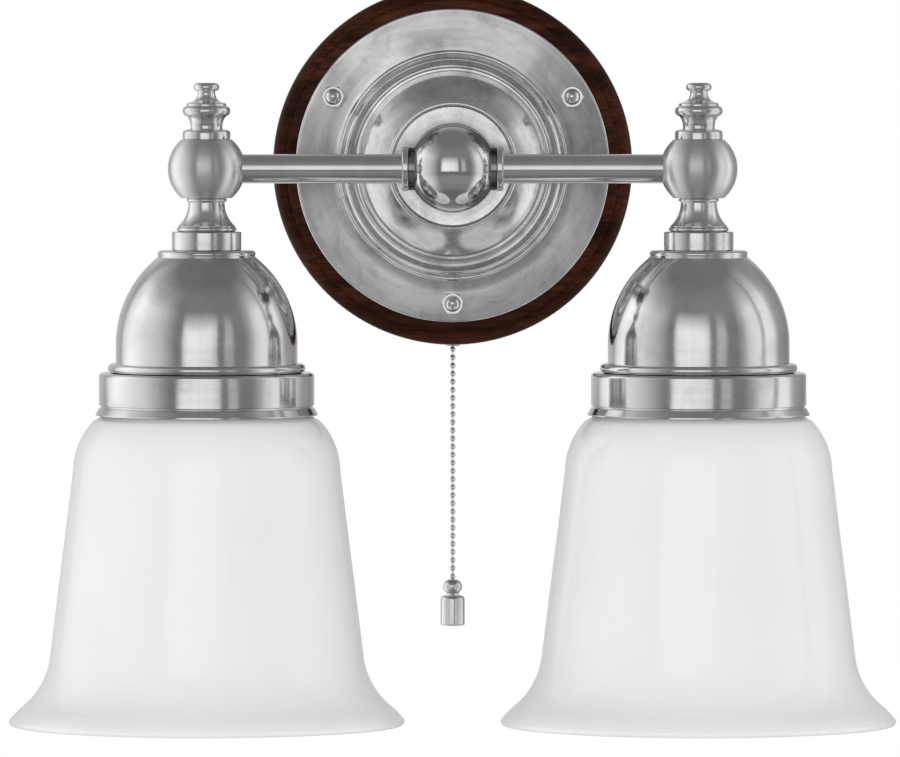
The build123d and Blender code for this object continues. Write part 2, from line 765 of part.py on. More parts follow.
    # Plain round collar
    with BuildPart() as collar:
        with BuildSketch(Plane(origin=(lamp_x, -projection, dome_top))):
            Circle(collar_diameter / 2)
            Circle(pipe_hole, mode=Mode.SUBTRACT)
        extrude(amount=collar_height)
        collar_edges = collar.edges().filter_by(GeomType.CIRCLE).sort_by(SortBy.RADIUS)[-2:]
        fillet(collar_edges, collar_round)
    save(collar, f"{side}_collar")

    # Spun dome: lipped top, round shoulder, upright side and a bead at its foot
    with BuildPart() as dome:
        lip_bottom = dome_top - dome_lip_height
        side_r = dome_diameter / 2
        start_r = dome_start_diameter / 2
        curve_bottom = dome_top - dome_curve_drop
        side_bottom = dome_top - dome_drop
        rise_of_curve = dome_curve_drop - dome_start_drop
        run_of_curve = side_r - start_r
        shoulder_r = (rise_of_curve**2 + run_of_curve**2) / (2 * run_of_curve)
        inner_shoulder_r = shoulder_r - dome_sheet
        curve_middle = side_r - shoulder_r
        inner_top = dome_top - dome_sheet
        inner_start = curve_middle + sqrt(inner_shoulder_r**2 - (inner_top - curve_bottom) ** 2)
        bead_r = dome_bead_diameter / 2
        half_bead = dome_bead_height / 2
        with BuildSketch(lamp_plane[side]):
            with BuildLine():
                Line((pipe_hole, dome_top), (dome_top_diameter / 2, dome_top))
                lip_start = (dome_top_diameter / 2, dome_top)
                SagittaArc(lip_start, (dome_lip_diameter / 2, lip_bottom), dome_lip_bulge)
                Line((dome_lip_diameter / 2, lip_bottom), (start_r, dome_top - dome_start_drop))
                RadiusArc((start_r, dome_top - dome_start_drop), (side_r, curve_bottom), shoulder_r)
                Line((side_r, curve_bottom), (side_r, side_bottom))
                Line((side_r, side_bottom), (bead_r - half_bead, side_bottom))
                ThreePointArc(
                    (bead_r - half_bead, side_bottom),
                    (bead_r, side_bottom - half_bead),
                    (bead_r - half_bead, gallery_top),
                )
                Polyline(
                    (bead_r - half_bead, gallery_top),
                    (side_r - dome_sheet, gallery_top),
                    (side_r - dome_sheet, curve_bottom),
                )
                RadiusArc(
                    (side_r - dome_sheet, curve_bottom),
                    (inner_start, inner_top),
                    -inner_shoulder_r,
                )
                Polyline((inner_start, inner_top), (pipe_hole, inner_top), (pipe_hole, dome_top))
            make_face()
        revolve(axis=lamp_axis[side])
    save(dome, f"{side}_dome")

    # Spun gallery: inner flange, rounded shoulder, upright band, groove and flared rim
    with BuildPart() as gallery:
        band = gallery_diameter / 2
        inner_band = band - gallery_sheet
        rim_r = band + gallery_rim_flare
        groove_z = gallery_bottom + gallery_groove_rise
        with BuildSketch(lamp_plane[side]):
            with BuildLine():
                Line((gallery_flange_bore / 2, gallery_top), (band - gallery_shoulder, gallery_top))
                RadiusArc(
                    (band - gallery_shoulder, gallery_top),
                    (band, gallery_top - gallery_shoulder),
                    gallery_shoulder,
                )
                Line((band, gallery_top - gallery_shoulder), (band, groove_z + gallery_groove_depth))
                ThreePointArc(
                    (band, groove_z + gallery_groove_depth),
                    (band - gallery_groove_depth, groove_z),
                    (band, groove_z - gallery_groove_depth),
                )
                Polyline(
                    (band, groove_z - gallery_groove_depth),
                    (rim_r, gallery_bottom + gallery_sheet / 2),
                    (rim_r, gallery_bottom),
                    (rim_r - gallery_sheet, gallery_bottom),
                    (inner_band, groove_z - 2 * gallery_groove_depth),
                    (inner_band - gallery_groove_depth, groove_z),
                    (inner_band, groove_z + 2 * gallery_groove_depth),
                    (inner_band, gallery_top - gallery_sheet),
                    (gallery_flange_bore / 2, gallery_top - gallery_sheet),
                    (gallery_flange_bore / 2, gallery_top),
                )
            make_face()
        revolve(axis=lamp_axis[side])
    save(gallery, f"{side}_gallery")

    # Rubber ring on the neck of the glass
    with BuildPart() as gasket:
        glass_neck = gallery_diameter / 2 - gallery_sheet - glass_neck_gap
        with BuildSketch(Plane(origin=(lamp_x, -projection, gasket_top))):
            Circle(glass_neck)
            Circle(glass_neck - gasket_width, mode=Mode.SUBTRACT)
        extrude(amount=-gasket_thickness)
    save(gasket, f"{side}_shade_gasket")

    # Opal bell shade: neck, round shoulder, nearly straight body and a flared lip
    with BuildPart() as glass_shade:
        neck_end = (glass_neck, glass_top - glass_neck_drop)
        foot_point = (glass_neck + glass_foot_step, glass_top - glass_foot_drop)
        shoulder_point = (glass_neck + glass_shoulder_step, glass_top - glass_shoulder_drop)
        body_point = (glass_neck + glass_body_step, glass_top - glass_body_drop)
        flare_point = (glass_neck + glass_flare_step, glass_top - glass_flare_drop)
        curl_point = (glass_neck + glass_curl_step, glass_top - glass_curl_drop)
        lip_point = (glass_neck + glass_lip_step, glass_top - glass_lip_drop)
        edge_point = (glass_neck + glass_edge_step, glass_top - glass_drop)
        with BuildSketch(lamp_plane[side]):
            with BuildLine():
                Line((glass_neck, glass_top), neck_end)
                Line(neck_end, foot_point)
                ThreePointArc(foot_point, shoulder_point, body_point)
                Line(body_point, flare_point)
                ThreePointArc(flare_point, curl_point, lip_point)
                Line(lip_point, edge_point)
                offset(amount=glass_wall, side=Side.RIGHT)
            make_face()
        revolve(axis=lamp_axis[side])
    save(glass_shade, f"{side}_glass_shade")

    # ============================================================ lampholder inside the dome
    # Moulded cap that screws onto the pipe
    with BuildPart() as holder_cap:
        cap_r = holder_diameter / 2
        with BuildSketch(lamp_plane[side]):
            with BuildLine():
                Polyline(
                    (pipe_hole, holder_top),
                    (holder_top_diameter / 2, holder_top),
                    (cap_r, holder_top - holder_cap_slope),
                    (cap_r, holder_body_top),
                    (cap_r - holder_cap_wall, holder_body_top),
                    (cap_r - holder_cap_wall, holder_top - holder_cap_slope),
                    (holder_top_diameter / 2, holder_top - 2 * holder_cap_wall),
                    (pipe_hole, holder_top - 2 * holder_cap_wall),
                    close=True,
                )
            make_face()
        revolve(axis=lamp_axis[side])
    save(holder_cap, f"{side}_holder_cap")

    # Moulded body with the mouth for the lamp
    with BuildPart() as holder_body:
        with BuildSketch(Plane(origin=(lamp_x, -projection, holder_bottom))):
            Circle(cap_r)
        extrude(amount=holder_body_height)
        with BuildSketch(Plane(origin=(lamp_x, -projection, holder_bottom))):
            Circle(holder_mouth_diameter / 2)
        extrude(amount=holder_mouth_depth, mode=Mode.SUBTRACT)
    save(holder_body, f"{side}_holder_body")

    # Brass screw shell
    with BuildPart() as screw_shell:
        shell_length = holder_mouth_depth - contact_height - shell_gap - shell_inset
        with BuildSketch(Plane(origin=(lamp_x, -projection, holder_bottom + shell_inset))):
            Circle(shell_bore / 2 + shell_sheet)
            Circle(shell_bore / 2, mode=Mode.SUBTRACT)
        extrude(amount=shell_length)
    save(screw_shell, f"{side}_screw_shell")

    # Centre contact
    with BuildPart() as centre_contact:
        contact_plane = Plane(origin=(lamp_x, -projection, holder_bottom + holder_mouth_depth))
        with BuildSketch(contact_plane):
            Circle(contact_diameter / 2)
        extrude(amount=-contact_height)
        fillet(centre_contact.edges().sort_by(Axis.Z)[0], contact_height / 3)
    save(centre_contact, f"{side}_centre_contact")

    # Twin lead, from the terminal block through stem, hub and arm to the lampholder
    with BuildPart() as lead:
        lead_start = Vector(way * lead_offset, -bracket_thickness - terminal_height, 0)
        hub_turn = Vector(way * lead_offset, -projection, 0)
        ball_turn = Vector(lamp_x, -projection, 0)
        lead_end = Vector(lamp_x, -projection, holder_body_top)
        with BuildLine():
            FilletPolyline(lead_start, hub_turn, ball_turn, lead_end, radius=lead_bend)
        with BuildSketch(Plane(origin=lead_start, z_dir=(0, -1, 0))):
            Circle(lead_diameter / 2)
        sweep()
    save(lead, f"{side}_lead")

# ================================================================ wiring and switch in the well
# Terminal block on the bracket, with a hole for each screw
with BuildPart() as terminal_block:
    with BuildSketch(Plane.XZ.offset(bracket_thickness)):
        RectangleRounded(terminal_width, terminal_depth, terminal_corner)
    extrude(amount=terminal_height)
    with BuildSketch(Plane.XZ.offset(bracket_thickness + terminal_height)):
        with Locations((0, -terminal_depth / 3)):
            with GridLocations(terminal_pitch, terminal_pitch, terminal_poles, 1):
                Circle(terminal_screw_diameter / 2 + thread_gap)
    extrude(amount=-terminal_screw_depth, mode=Mode.SUBTRACT)
save(terminal_block, "terminal_block")

# Terminal screws
with BuildPart() as terminal_screws:
    screw_head_out = bracket_thickness + terminal_height - terminal_screw_sink
    with BuildSketch(Plane.XZ.offset(screw_head_out)):
        with Locations((0, -terminal_depth / 3)):
            with GridLocations(terminal_pitch, terminal_pitch, terminal_poles, 1):
                Circle(terminal_screw_diameter / 2)
    extrude(amount=terminal_screw_sink - terminal_screw_depth)
save(terminal_screws, "terminal_screws")

# Switch housing: a box, open to the front, with a hole in its floor for the plunger
with BuildPart() as switch_housing:
    switch_front = bracket_thickness + switch_depth
    switch_middle = (switch_top + switch_bottom) / 2
    with BuildSketch(Plane.XZ.offset(bracket_thickness)):
        with Locations((0, switch_middle)):
            Rectangle(switch_width, switch_height)
    extrude(amount=switch_depth)
    with BuildSketch(Plane.XZ.offset(switch_front)):
        with Locations((0, switch_middle)):
            Rectangle(switch_width - 2 * switch_wall, switch_height - 2 * switch_wall)
    extrude(amount=switch_wall - switch_depth, mode=Mode.SUBTRACT)
    with BuildSketch(Plane(origin=(0, -chain_out, switch_bottom))):
        Circle(plunger_rod_diameter / 2 + plunger_rod_gap)
    extrude(amount=switch_wall, mode=Mode.SUBTRACT)
save(switch_housing, "switch_housing")

# Switch cover
with BuildPart() as switch_cover:
    with BuildSketch(Plane.XZ.offset(switch_front)):
        with Locations((0, switch_middle)):
            Rectangle(switch_width, switch_height)
    extrude(amount=switch_cover_thickness)
save(switch_cover, "switch_cover")

# Plunger: a round head, which the spring lifts, on a rod
with BuildPart() as pull_plunger:
    with BuildSketch(Plane(origin=(0, -chain_out, plunger_head_bottom))):
        Circle(plunger_head_diameter / 2)
    extrude(amount=plunger_head_height)
    with BuildSketch(Plane(origin=(0, -chain_out, plunger_bottom))):
        Circle(plunger_rod_diameter / 2)
    extrude(amount=plunger_head_bottom - plunger_bottom)
save(pull_plunger, "pull_plunger")

# Return spring under the plunger's head
with BuildPart() as return_spring:
    spring_bottom = switch_bottom + switch_wall + spring_wire / 2
    spring_height = plunger_head_bottom - spring_bottom - spring_wire / 2
    spring_r = (spring_diameter - spring_wire) / 2
    with BuildLine(Plane(origin=(0, -chain_out, spring_bottom))):
        coil = Helix(pitch=spring_height / spring_turns, height=spring_height, radius=spring_r)
    with BuildSketch(Plane(origin=coil @ 0, z_dir=coil % 0)):
        Circle(spring_wire / 2)
    sweep(path=coil, is_frenet=True)
save(return_spring, "return_spring")

# Cam wheel on its pin, turned by the plunger
with BuildPart() as cam_wheel:
    cam_height = switch_top - cam_drop
    cam_plane = Plane.XZ.offset(chain_out - cam_width / 2)
    with BuildSketch(cam_plane):
        with Locations((-cam_offset, cam_height)):
            Circle(cam_diameter / 2)
            Circle(cam_pin_diameter / 2 + thread_gap, mode=Mode.SUBTRACT)
    extrude(amount=cam_width)
save(cam_wheel, "cam_wheel")

# Pin that the cam turns on, across the housing
with BuildPart() as cam_pin:
    with BuildSketch(Plane.XZ.offset(bracket_thickness + switch_wall)):
        with Locations((-cam_offset, cam_height)):
            Circle(cam_pin_diameter / 2)
    extrude(amount=switch_depth - switch_wall)
save(cam_pin, "cam_pin")

# Two contact strips beside the plunger
with BuildPart() as switch_contacts:
    strip_x = switch_width / 2 - switch_wall - contact_strip_thickness / 2
    strip_height = switch_height - 2 * switch_wall
    with BuildSketch(Plane.XZ.offset(chain_out - contact_strip_width / 2)):
        with Locations((strip_x, switch_middle)):
            Rectangle(contact_strip_thickness, strip_height)
        with Locations((-strip_x, switch_bottom + switch_wall + strip_height / 4)):
            Rectangle(contact_strip_thickness, strip_height / 2)
    extrude(amount=contact_strip_width)
save(switch_contacts, "switch_contacts")

# ================================================================ pull chain
# Brass ferrule that lines the tunnel, with a rolled lip at the wood's edge
with BuildPart() as chain_ferrule:
    ferrule_top = -sqrt((well_diameter / 2) ** 2 - (ferrule_diameter / 2) ** 2)
    with BuildSketch(chain_plane):
        with BuildLine():
            Polyline(
                (ferrule_bore / 2, ferrule_top),
                (ferrule_diameter / 2, ferrule_top),
                (ferrule_diameter / 2, wood_bottom),
                (ferrule_lip_diameter / 2, wood_bottom),
            )
            RadiusArc(
                (ferrule_lip_diameter / 2, wood_bottom),
                (ferrule_lip_diameter / 2 - ferrule_lip_height, ferrule_bottom),
                ferrule_lip_height,
            )
            Polyline(
                (ferrule_lip_diameter / 2 - ferrule_lip_height, ferrule_bottom),
                (ferrule_bore / 2, ferrule_bottom),
                (ferrule_bore / 2, ferrule_top),
            )
        make_face()
    revolve(axis=chain_axis)
save(chain_ferrule, "chain_ferrule")

# Beads inside the base, from the plunger to just above the swinging bead
with BuildPart() as upper_chain:
    upper_first = pivot_height + upper_bead_count * bead_pitch
    upper_last = pivot_height + bead_pitch
    upper_end = pivot_height + bead_diameter / 2 + link_gap
    with BuildSketch(chain_plane):
        with BuildLine():
            Line((0, plunger_bottom), (link_diameter / 2, plunger_bottom))
            Line((link_diameter / 2, plunger_bottom), (link_diameter / 2, upper_first + bead_reach))
            beads(upper_first, upper_bead_count)
            Line((link_diameter / 2, upper_last - bead_reach), (link_diameter / 2, upper_end))
            Line((link_diameter / 2, upper_end), (0, upper_end))
            Line((0, upper_end), (0, plunger_bottom))
        make_face()
    revolve(axis=chain_axis)
save(upper_chain, "upper_chain")

# The bead that the hanging chain swings on
with BuildPart(Plane(origin=(0, -chain_out, pivot_height))) as pivot_bead:
    Sphere(bead_diameter / 2)
save(pivot_bead, "pivot_bead")

# Hanging bead chain, pulled straight by its weight
with BuildPart() as pull_chain:
    hang_top = pivot_height - bead_diameter / 2 - link_gap
    hang_first = pivot_height - bead_pitch
    hang_last = pivot_height - bead_count * bead_pitch
    with BuildSketch(chain_plane):
        with BuildLine():
            Line((0, hang_top), (link_diameter / 2, hang_top))
            Line((link_diameter / 2, hang_top), (link_diameter / 2, hang_first + bead_reach))
            beads(hang_first, bead_count)
            Line((link_diameter / 2, hang_last - bead_reach), (link_diameter / 2, chain_bottom))
            Line((link_diameter / 2, chain_bottom), (0, chain_bottom))
            Line((0, chain_bottom), (0, hang_top))
        make_face()
    revolve(axis=chain_axis)
save(pull_chain, "pull_chain")

# Turned weight: ball, short neck, round shoulder and a plain cylinder
with BuildPart() as chain_weight:
    ball_r = weight_ball_diameter / 2
    crown_r = link_diameter
    neck_top = chain_bottom - weight_ball_height
    neck_bottom = neck_top - weight_neck_height
    body_top = neck_bottom - weight_shoulder_height
    body_bottom = body_top - weight_body_height
    body_r = weight_diameter / 2
    weight_neck = weight_neck_diameter / 2
    with BuildSketch(chain_plane):
        with BuildLine():
            Line((0, chain_bottom), (crown_r, chain_bottom))
            ThreePointArc(
                (crown_r, chain_bottom),
                (ball_r, chain_bottom - weight_ball_middle),
                (weight_neck, neck_top),
            )
            Line((weight_neck, neck_top), (weight_neck, neck_bottom))
            RadiusArc((weight_neck, neck_bottom), (body_r, body_top), body_r - weight_neck)
            Polyline((body_r, body_top), (body_r, body_bottom), (0, body_bottom), (0, chain_bottom))
        make_face()
    revolve(axis=chain_axis)
save(chain_weight, "chain_weight")

coil_gap = spring_height / spring_turns - spring_wire
print(f"return spring: least gap between turns {coil_gap:.2f} mm")
print(f"pull chain: {-pivot_height + chain_bottom:.1f} mm, {bead_count} beads, ends at {chain_bottom:.1f}")
print(f"lead bends: radius {lead_bend:.1f} mm")
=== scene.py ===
"""Double arm wall sconce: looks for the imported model, in metres, in the CAD's own frame.

+Z is up, +Y goes into the wall and the lamp stands out towards -Y.
The file follows the lamp as it is put together, from the wall outwards.
"""

from math import asin, cos, pi, radians, sin, tau

import bpy
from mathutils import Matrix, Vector


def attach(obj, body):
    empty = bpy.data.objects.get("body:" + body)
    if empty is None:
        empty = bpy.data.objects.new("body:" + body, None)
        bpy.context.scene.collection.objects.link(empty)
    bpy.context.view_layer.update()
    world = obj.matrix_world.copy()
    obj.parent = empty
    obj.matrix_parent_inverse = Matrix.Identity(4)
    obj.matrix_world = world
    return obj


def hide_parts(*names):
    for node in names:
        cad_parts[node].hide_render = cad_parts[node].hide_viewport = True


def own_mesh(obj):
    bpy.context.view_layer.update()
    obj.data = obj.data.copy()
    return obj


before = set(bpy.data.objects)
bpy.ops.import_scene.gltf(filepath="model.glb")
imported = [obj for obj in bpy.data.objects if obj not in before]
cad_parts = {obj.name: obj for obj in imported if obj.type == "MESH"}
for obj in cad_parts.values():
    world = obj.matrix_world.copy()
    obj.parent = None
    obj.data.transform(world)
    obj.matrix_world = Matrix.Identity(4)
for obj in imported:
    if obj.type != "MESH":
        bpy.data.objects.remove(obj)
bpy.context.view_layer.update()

# ---------------------------------------------------------------- camera
# A long lens, square to the wall, a little above the arms and aimed slightly down.
# The width that the picture takes in at the lamp axes sets the lens.
camera_distance = 4.5
camera_height = 0.08
camera_aim = Vector((-0.0011, -0.1, -0.0861))
picture_width = 0.3693
camera_data = bpy.data.cameras.new("camera")
camera = bpy.data.objects.new("camera", camera_data)
bpy.context.scene.collection.objects.link(camera)
camera.location = (camera_aim.x, camera_aim.y - camera_distance, camera_height)
camera.rotation_euler = (camera_aim - camera.location).to_track_quat("-Z", "Y").to_euler()
camera_data.lens = camera_data.sensor_width * camera_distance / picture_width
camera_data.clip_start = 0.1
camera_data.clip_end = 100
bpy.context.scene.camera = camera
bpy.context.scene.view_settings.view_transform = "Standard"

# ---------------------------------------------------------------- floor
# A plain pale floor below the lamp. Away from the lamp it fades to the plain
# white of the background.
floor_level = -0.62
floor_radius = 9
fade_start = 0.5
fade_end = 1.7


def maths(nodes, links, operation, first, second=None):
    """One number from one or two, each a socket or a plain number."""
    node = nodes.new("ShaderNodeMath")
    node.operation = operation
    for socket, value in zip(node.inputs, (first, second)):
        if isinstance(value, (int, float)):
            socket.default_value = value
        elif value:
            links.new(value, socket)
    return node.outputs["Value"]


def share(nodes, links, value, low, high, easing="LINEAR"):
    """Where a number lies between low and high, from 0 to 1."""
    node = nodes.new("ShaderNodeMapRange")
    node.interpolation_type = easing
    node.inputs["From Min"].default_value = low
    node.inputs["From Max"].default_value = high
    links.new(value, node.inputs["Value"])
    return node.outputs["Result"]


bpy.ops.object.select_all(action="DESELECT")
bpy.ops.mesh.primitive_circle_add(
    vertices=96, radius=floor_radius, fill_type="NGON", location=(0, 0, floor_level)
)
floor = bpy.context.object
floor.name = "floor"
floor.visible_glossy = False
floor_paint = bpy.data.materials.new("floor_paint")
floor_paint.use_nodes = True
nodes = floor_paint.node_tree.nodes
links = floor_paint.node_tree.links
floor_shader = nodes["Principled BSDF"]
floor_shader.inputs["Base Color"].default_value = (0.86, 0.86, 0.86, 1)
floor_shader.inputs["Roughness"].default_value = 0.9
white = nodes.new("ShaderNodeEmission")
floor_place = nodes.new("ShaderNodeTexCoord")
reach = nodes.new("ShaderNodeVectorMath")
reach.operation = "LENGTH"
links.new(floor_place.outputs["Object"], reach.inputs[0])
fade = share(nodes, links, reach.outputs["Value"], fade_start, fade_end, "SMOOTHSTEP")
ray = nodes.new("ShaderNodeLightPath")
seen = maths(nodes, links, "MULTIPLY", fade, ray.outputs["Is Camera Ray"])
blend = nodes.new("ShaderNodeMixShader")
links.new(seen, blend.inputs["Fac"])
links.new(floor_shader.outputs["BSDF"], blend.inputs[1])
links.new(white.outputs["Emission"], blend.inputs[2])
links.new(blend.outputs["Shader"], nodes["Material Output"].inputs["Surface"])
floor.data.materials.append(floor_paint)

# ---------------------------------------------------------------- studio
# The room that the metal and the glass mirror: a dim ceiling, a tall soft panel
# on each side and a low wide window behind the camera. Only reflections see it.
studio_radius = 7
studio_middle = (0, -0.1, -0.08)
studio_strength = 1.4


def ramp(nodes, links, factor, *stops):
    """Colours or greys that follow a factor."""
    node = nodes.new("ShaderNodeValToRGB")
    elements = node.color_ramp.elements
    while len(elements) < len(stops):
        elements.new(0.5)
    for element, (position, colour) in zip(elements, stops):
        element.position = position
        element.color = (*colour, 1) if isinstance(colour, tuple) else (colour, colour, colour, 1)
    links.new(factor, node.inputs["Fac"])
    return node.outputs["Color"]


def levels(angle_share, limit, *stops):
    """The room's grey levels at angles in degrees, which run from -limit to limit."""
    placed = [((angle + limit) / (2 * limit), level) for angle, level in stops]
    return ramp(nodes, links, angle_share, *placed)


bpy.ops.object.select_all(action="DESELECT")
bpy.ops.mesh.primitive_uv_sphere_add(
    segments=64, ring_count=32, radius=studio_radius, location=studio_middle
)
studio = bpy.context.object
studio.name = "studio"
studio.visible_camera = False
studio.visible_diffuse = False
studio.visible_shadow = False
studio.visible_transmission = False
studio_paint = bpy.data.materials.new("studio_paint")
studio_paint.use_nodes = True
nodes = studio_paint.node_tree.nodes
links = studio_paint.node_tree.links
nodes.remove(nodes["Principled BSDF"])
glow = nodes.new("ShaderNodeEmission")
glow.inputs["Strength"].default_value = studio_strength
place = nodes.new("ShaderNodeTexCoord")
way = nodes.new("ShaderNodeVectorMath")
way.operation = "NORMALIZE"
split = nodes.new("ShaderNodeSeparateXYZ")
links.new(place.outputs["Object"], way.inputs[0])
links.new(way.outputs["Vector"], split.inputs["Vector"])
towards = maths(nodes, links, "MULTIPLY", split.outputs["Y"], -1)
bearing = maths(nodes, links, "ARCTAN2", split.outputs["X"], towards)
bearing_share = share(nodes, links, bearing, -pi, pi)
height = maths(nodes, links, "ARCSINE", split.outputs["Z"])
height_share = share(nodes, links, height, -pi / 2, pi / 2)

# Each stop is an angle in degrees, to the right of the camera or above level, with
# the room's grey level there.
room = levels(
    height_share, 90,
    (-90, 0.12), (-60, 0.12), (-50, 0.17), (-30, 0.20), (-16, 0.19), (-13, 0.13), (-7, 0.13),
    (-4, 0.16), (14, 0.16), (28, 0.18), (50, 0.17), (64, 0.14), (90, 0.14),
)
panels = levels(
    bearing_share, 180,
    (-180, 0.30), (-150, 0.22), (-138, 0.16), (-128, 0.52), (-112, 0.72), (-100, 0.64),
    (-83, 0.47), (-74, 0.40), (-59, 0.26), (-38, 0.0), (50, 0.0), (60, 0.16), (67, 0.38),
    (76, 0.48), (85, 0.50), (87, 0.18), (91, 0.18), (94, 0.56), (110, 0.52), (117, 0.24),
    (124, 0.12), (150, 0.04), (180, 0.30),
)
panel_height = levels(
    height_share, 90,
    (-90, 0.1), (-55, 0.2), (-35, 1), (27, 1), (40, 0.45), (52, 0.15), (62, 0.0),
)
window = levels(
    bearing_share, 180,
    (-32, 0.0), (-29, 0.42), (-24, 0.60), (-17.5, 0.60), (-17, 0.50), (-16.5, 0.60), (-9, 0.60),
    (-8.5, 0.46), (-8, 0.58), (-1, 0.54), (-0.5, 0.42), (0, 0.54), (7, 0.53), (8, 0.44),
    (13, 0.42), (16, 0.0), (22, 0.0), (25, 0.22), (33, 0.20), (37, 0.0),
)
window_height = levels(height_share, 90, (-6.5, 0), (-3.5, 1), (13, 1), (20, 0.7), (34, 0))
sides = maths(nodes, links, "MULTIPLY", panels, panel_height)
front = maths(nodes, links, "MULTIPLY", window, window_height)
walls = maths(nodes, links, "ADD", room, sides)
links.new(maths(nodes, links, "ADD", walls, front), glow.inputs["Color"])
links.new(glow.outputs["Emission"], nodes["Material Output"].inputs["Surface"])
studio_paint.cycles.emission_sampling = "NONE"
studio.data.materials.append(studio_paint)

# ---------------------------------------------------------------- light
# White background, an even ambient light, and square soft lamps on both sides, in
# front and behind. The lamps aren't mirrored themselves, because the studio is.
ambient_strength = 0.60
world = bpy.data.worlds.new("world")
bpy.context.scene.world = world
world.use_nodes = True
world.cycles.sampling_method = "NONE"
nodes = world.node_tree.nodes
links = world.node_tree.links
backdrop = nodes["Background"]
backdrop.inputs["Color"].default_value = (1, 1, 1, 1)
ambient = nodes.new("ShaderNodeBackground")
ambient.inputs["Color"].default_value = (1, 1, 1, 1)
ambient.inputs["Strength"].default_value = ambient_strength
ray = nodes.new("ShaderNodeLightPath")
mirrored = maths(nodes, links, "MAXIMUM", ray.outputs["Is Camera Ray"], ray.outputs["Is Glossy Ray"])
plain = maths(nodes, links, "MAXIMUM", mirrored, ray.outputs["Is Transmission Ray"])
blend = nodes.new("ShaderNodeMixShader")
links.new(plain, blend.inputs["Fac"])
links.new(ambient.outputs["Background"], blend.inputs[1])
links.new(backdrop.outputs["Background"], blend.inputs[2])
links.new(blend.outputs["Shader"], nodes["World Output"].inputs["Surface"])
for name, spot, size, power in (
    ("left_softbox", (-2.6, -1.3, 0.0), 1.8, 23),
    ("right_softbox", (2.6, -1.3, 0.0), 1.8, 24),
    ("front_softbox", (-0.6, -3.0, -0.1), 1.6, 20),
    ("back_softbox", (0.8, 2.6, 1.0), 1.8, 22),
):
    lamp_data = bpy.data.lights.new(name, "AREA")
    lamp_data.shape = "SQUARE"
    lamp_data.size = size
    lamp_data.energy = power
    lamp = bpy.data.objects.new(name, lamp_data)
    bpy.context.scene.collection.objects.link(lamp)
    lamp.location = spot
    lamp.rotation_euler = (camera_aim - lamp.location).to_track_quat("-Z", "Y").to_euler()
    lamp.visible_glossy = False

# ---------------------------------------------------------------- pull chain
# Nickelled ball chain: hollow beads rolled from thin sheet on short link wires.
# A turned weight pulls it straight, and it swings below the ferrule.
mm = 0.001
upwards = (0, 0, 1)
lamp_out = 101  # from the middle to each lamp's axis
arm_out = 100  # from the wall to the lamp axes
chain_out = 9.0  # from the wall to the chain
chain_route = [(0, 0, -77.5), (0, 0, -90), (0, 0, -125), (0, 0, -160), (0, 0, -173.6)]
first_bead = -80.6
bead_pitch = 3.4
bead_count = 28
bead_radius = 1.2
bead_shoulder = bead_radius - 0.06
wire_radius = 0.42
link_reach = 0.9
top_link_rise = 1.9


def finish(name):
    """A node material with its shader and a place to read the object's own coordinates."""
    material = bpy.data.materials.new(name)
    material.use_nodes = True
    nodes, links = material.node_tree.nodes, material.node_tree.links
    return material, nodes, links, nodes["Principled BSDF"], nodes.new("ShaderNodeTexCoord")


def noise(nodes, links, vector, scale, stretch=(1, 1, 1), detail=4.0, rough=0.55, warp=0.0):
    """Noise from 0 to 1, with scale in ripples to a metre, stretched by less scale along a direction."""
    mapping = nodes.new("ShaderNodeMapping")
    mapping.inputs["Scale"].default_value = stretch
    texture = nodes.new("ShaderNodeTexNoise")
    texture.inputs["Scale"].default_value = scale
    texture.inputs["Detail"].default_value = detail
    texture.inputs["Roughness"].default_value = rough
    texture.inputs["Distortion"].default_value = warp
    links.new(vector, mapping.inputs["Vector"])
    links.new(mapping.outputs["Vector"], texture.inputs["Vector"])
    return texture.outputs["Fac"]


def bump(nodes, links, shader, height, depth, under=None):
    """Raise the surface by a height from 0 to 1 times depth, in metres, on top of another bump."""
    node = nodes.new("ShaderNodeBump")
    node.inputs["Distance"].default_value = depth
    links.new(height, node.inputs["Height"])
    if under:
        links.new(under, node.inputs["Normal"])
    links.new(node.outputs["Normal"], shader.inputs["Normal"])
    return node.outputs["Normal"]


def lathe(nodes, links, here, axis):
    """Place on a turned piece: radius, turn round the axis in radians, and way along it."""
    split = nodes.new("ShaderNodeSeparateXYZ")
    links.new(here, split.inputs["Vector"])
    x, y, z = split.outputs["X"], split.outputs["Y"], split.outputs["Z"]
    if axis == "rosette":
        across, up, along = x, z, y
    elif axis == "arm":
        across, up, along = maths(nodes, links, "ADD", y, arm_out * mm), z, x
    else:
        across = maths(nodes, links, "SUBTRACT", maths(nodes, links, "ABSOLUTE", x), lamp_out * mm)
        up = maths(nodes, links, "SUBTRACT", -arm_out * mm, y)
        along = z
    across_square = maths(nodes, links, "POWER", across, 2)
    up_square = maths(nodes, links, "POWER", up, 2)
    radius = maths(nodes, links, "SQRT", maths(nodes, links, "ADD", across_square, up_square))
    return radius, maths(nodes, links, "ARCTAN2", across, up), along


def tooled(nodes, links, here, axis, turn_reach, along_reach):
    """Coordinates in which noise runs along the marks of a lathe or a drawing die."""
    radius, turn, along = lathe(nodes, links, here, axis)
    join = nodes.new("ShaderNodeCombineXYZ")
    links.new(radius, join.inputs["X"])
    links.new(maths(nodes, links, "MULTIPLY", turn, turn_reach), join.inputs["Y"])
    links.new(maths(nodes, links, "MULTIPLY", along, along_reach), join.inputs["Z"])
    return join.outputs["Vector"]


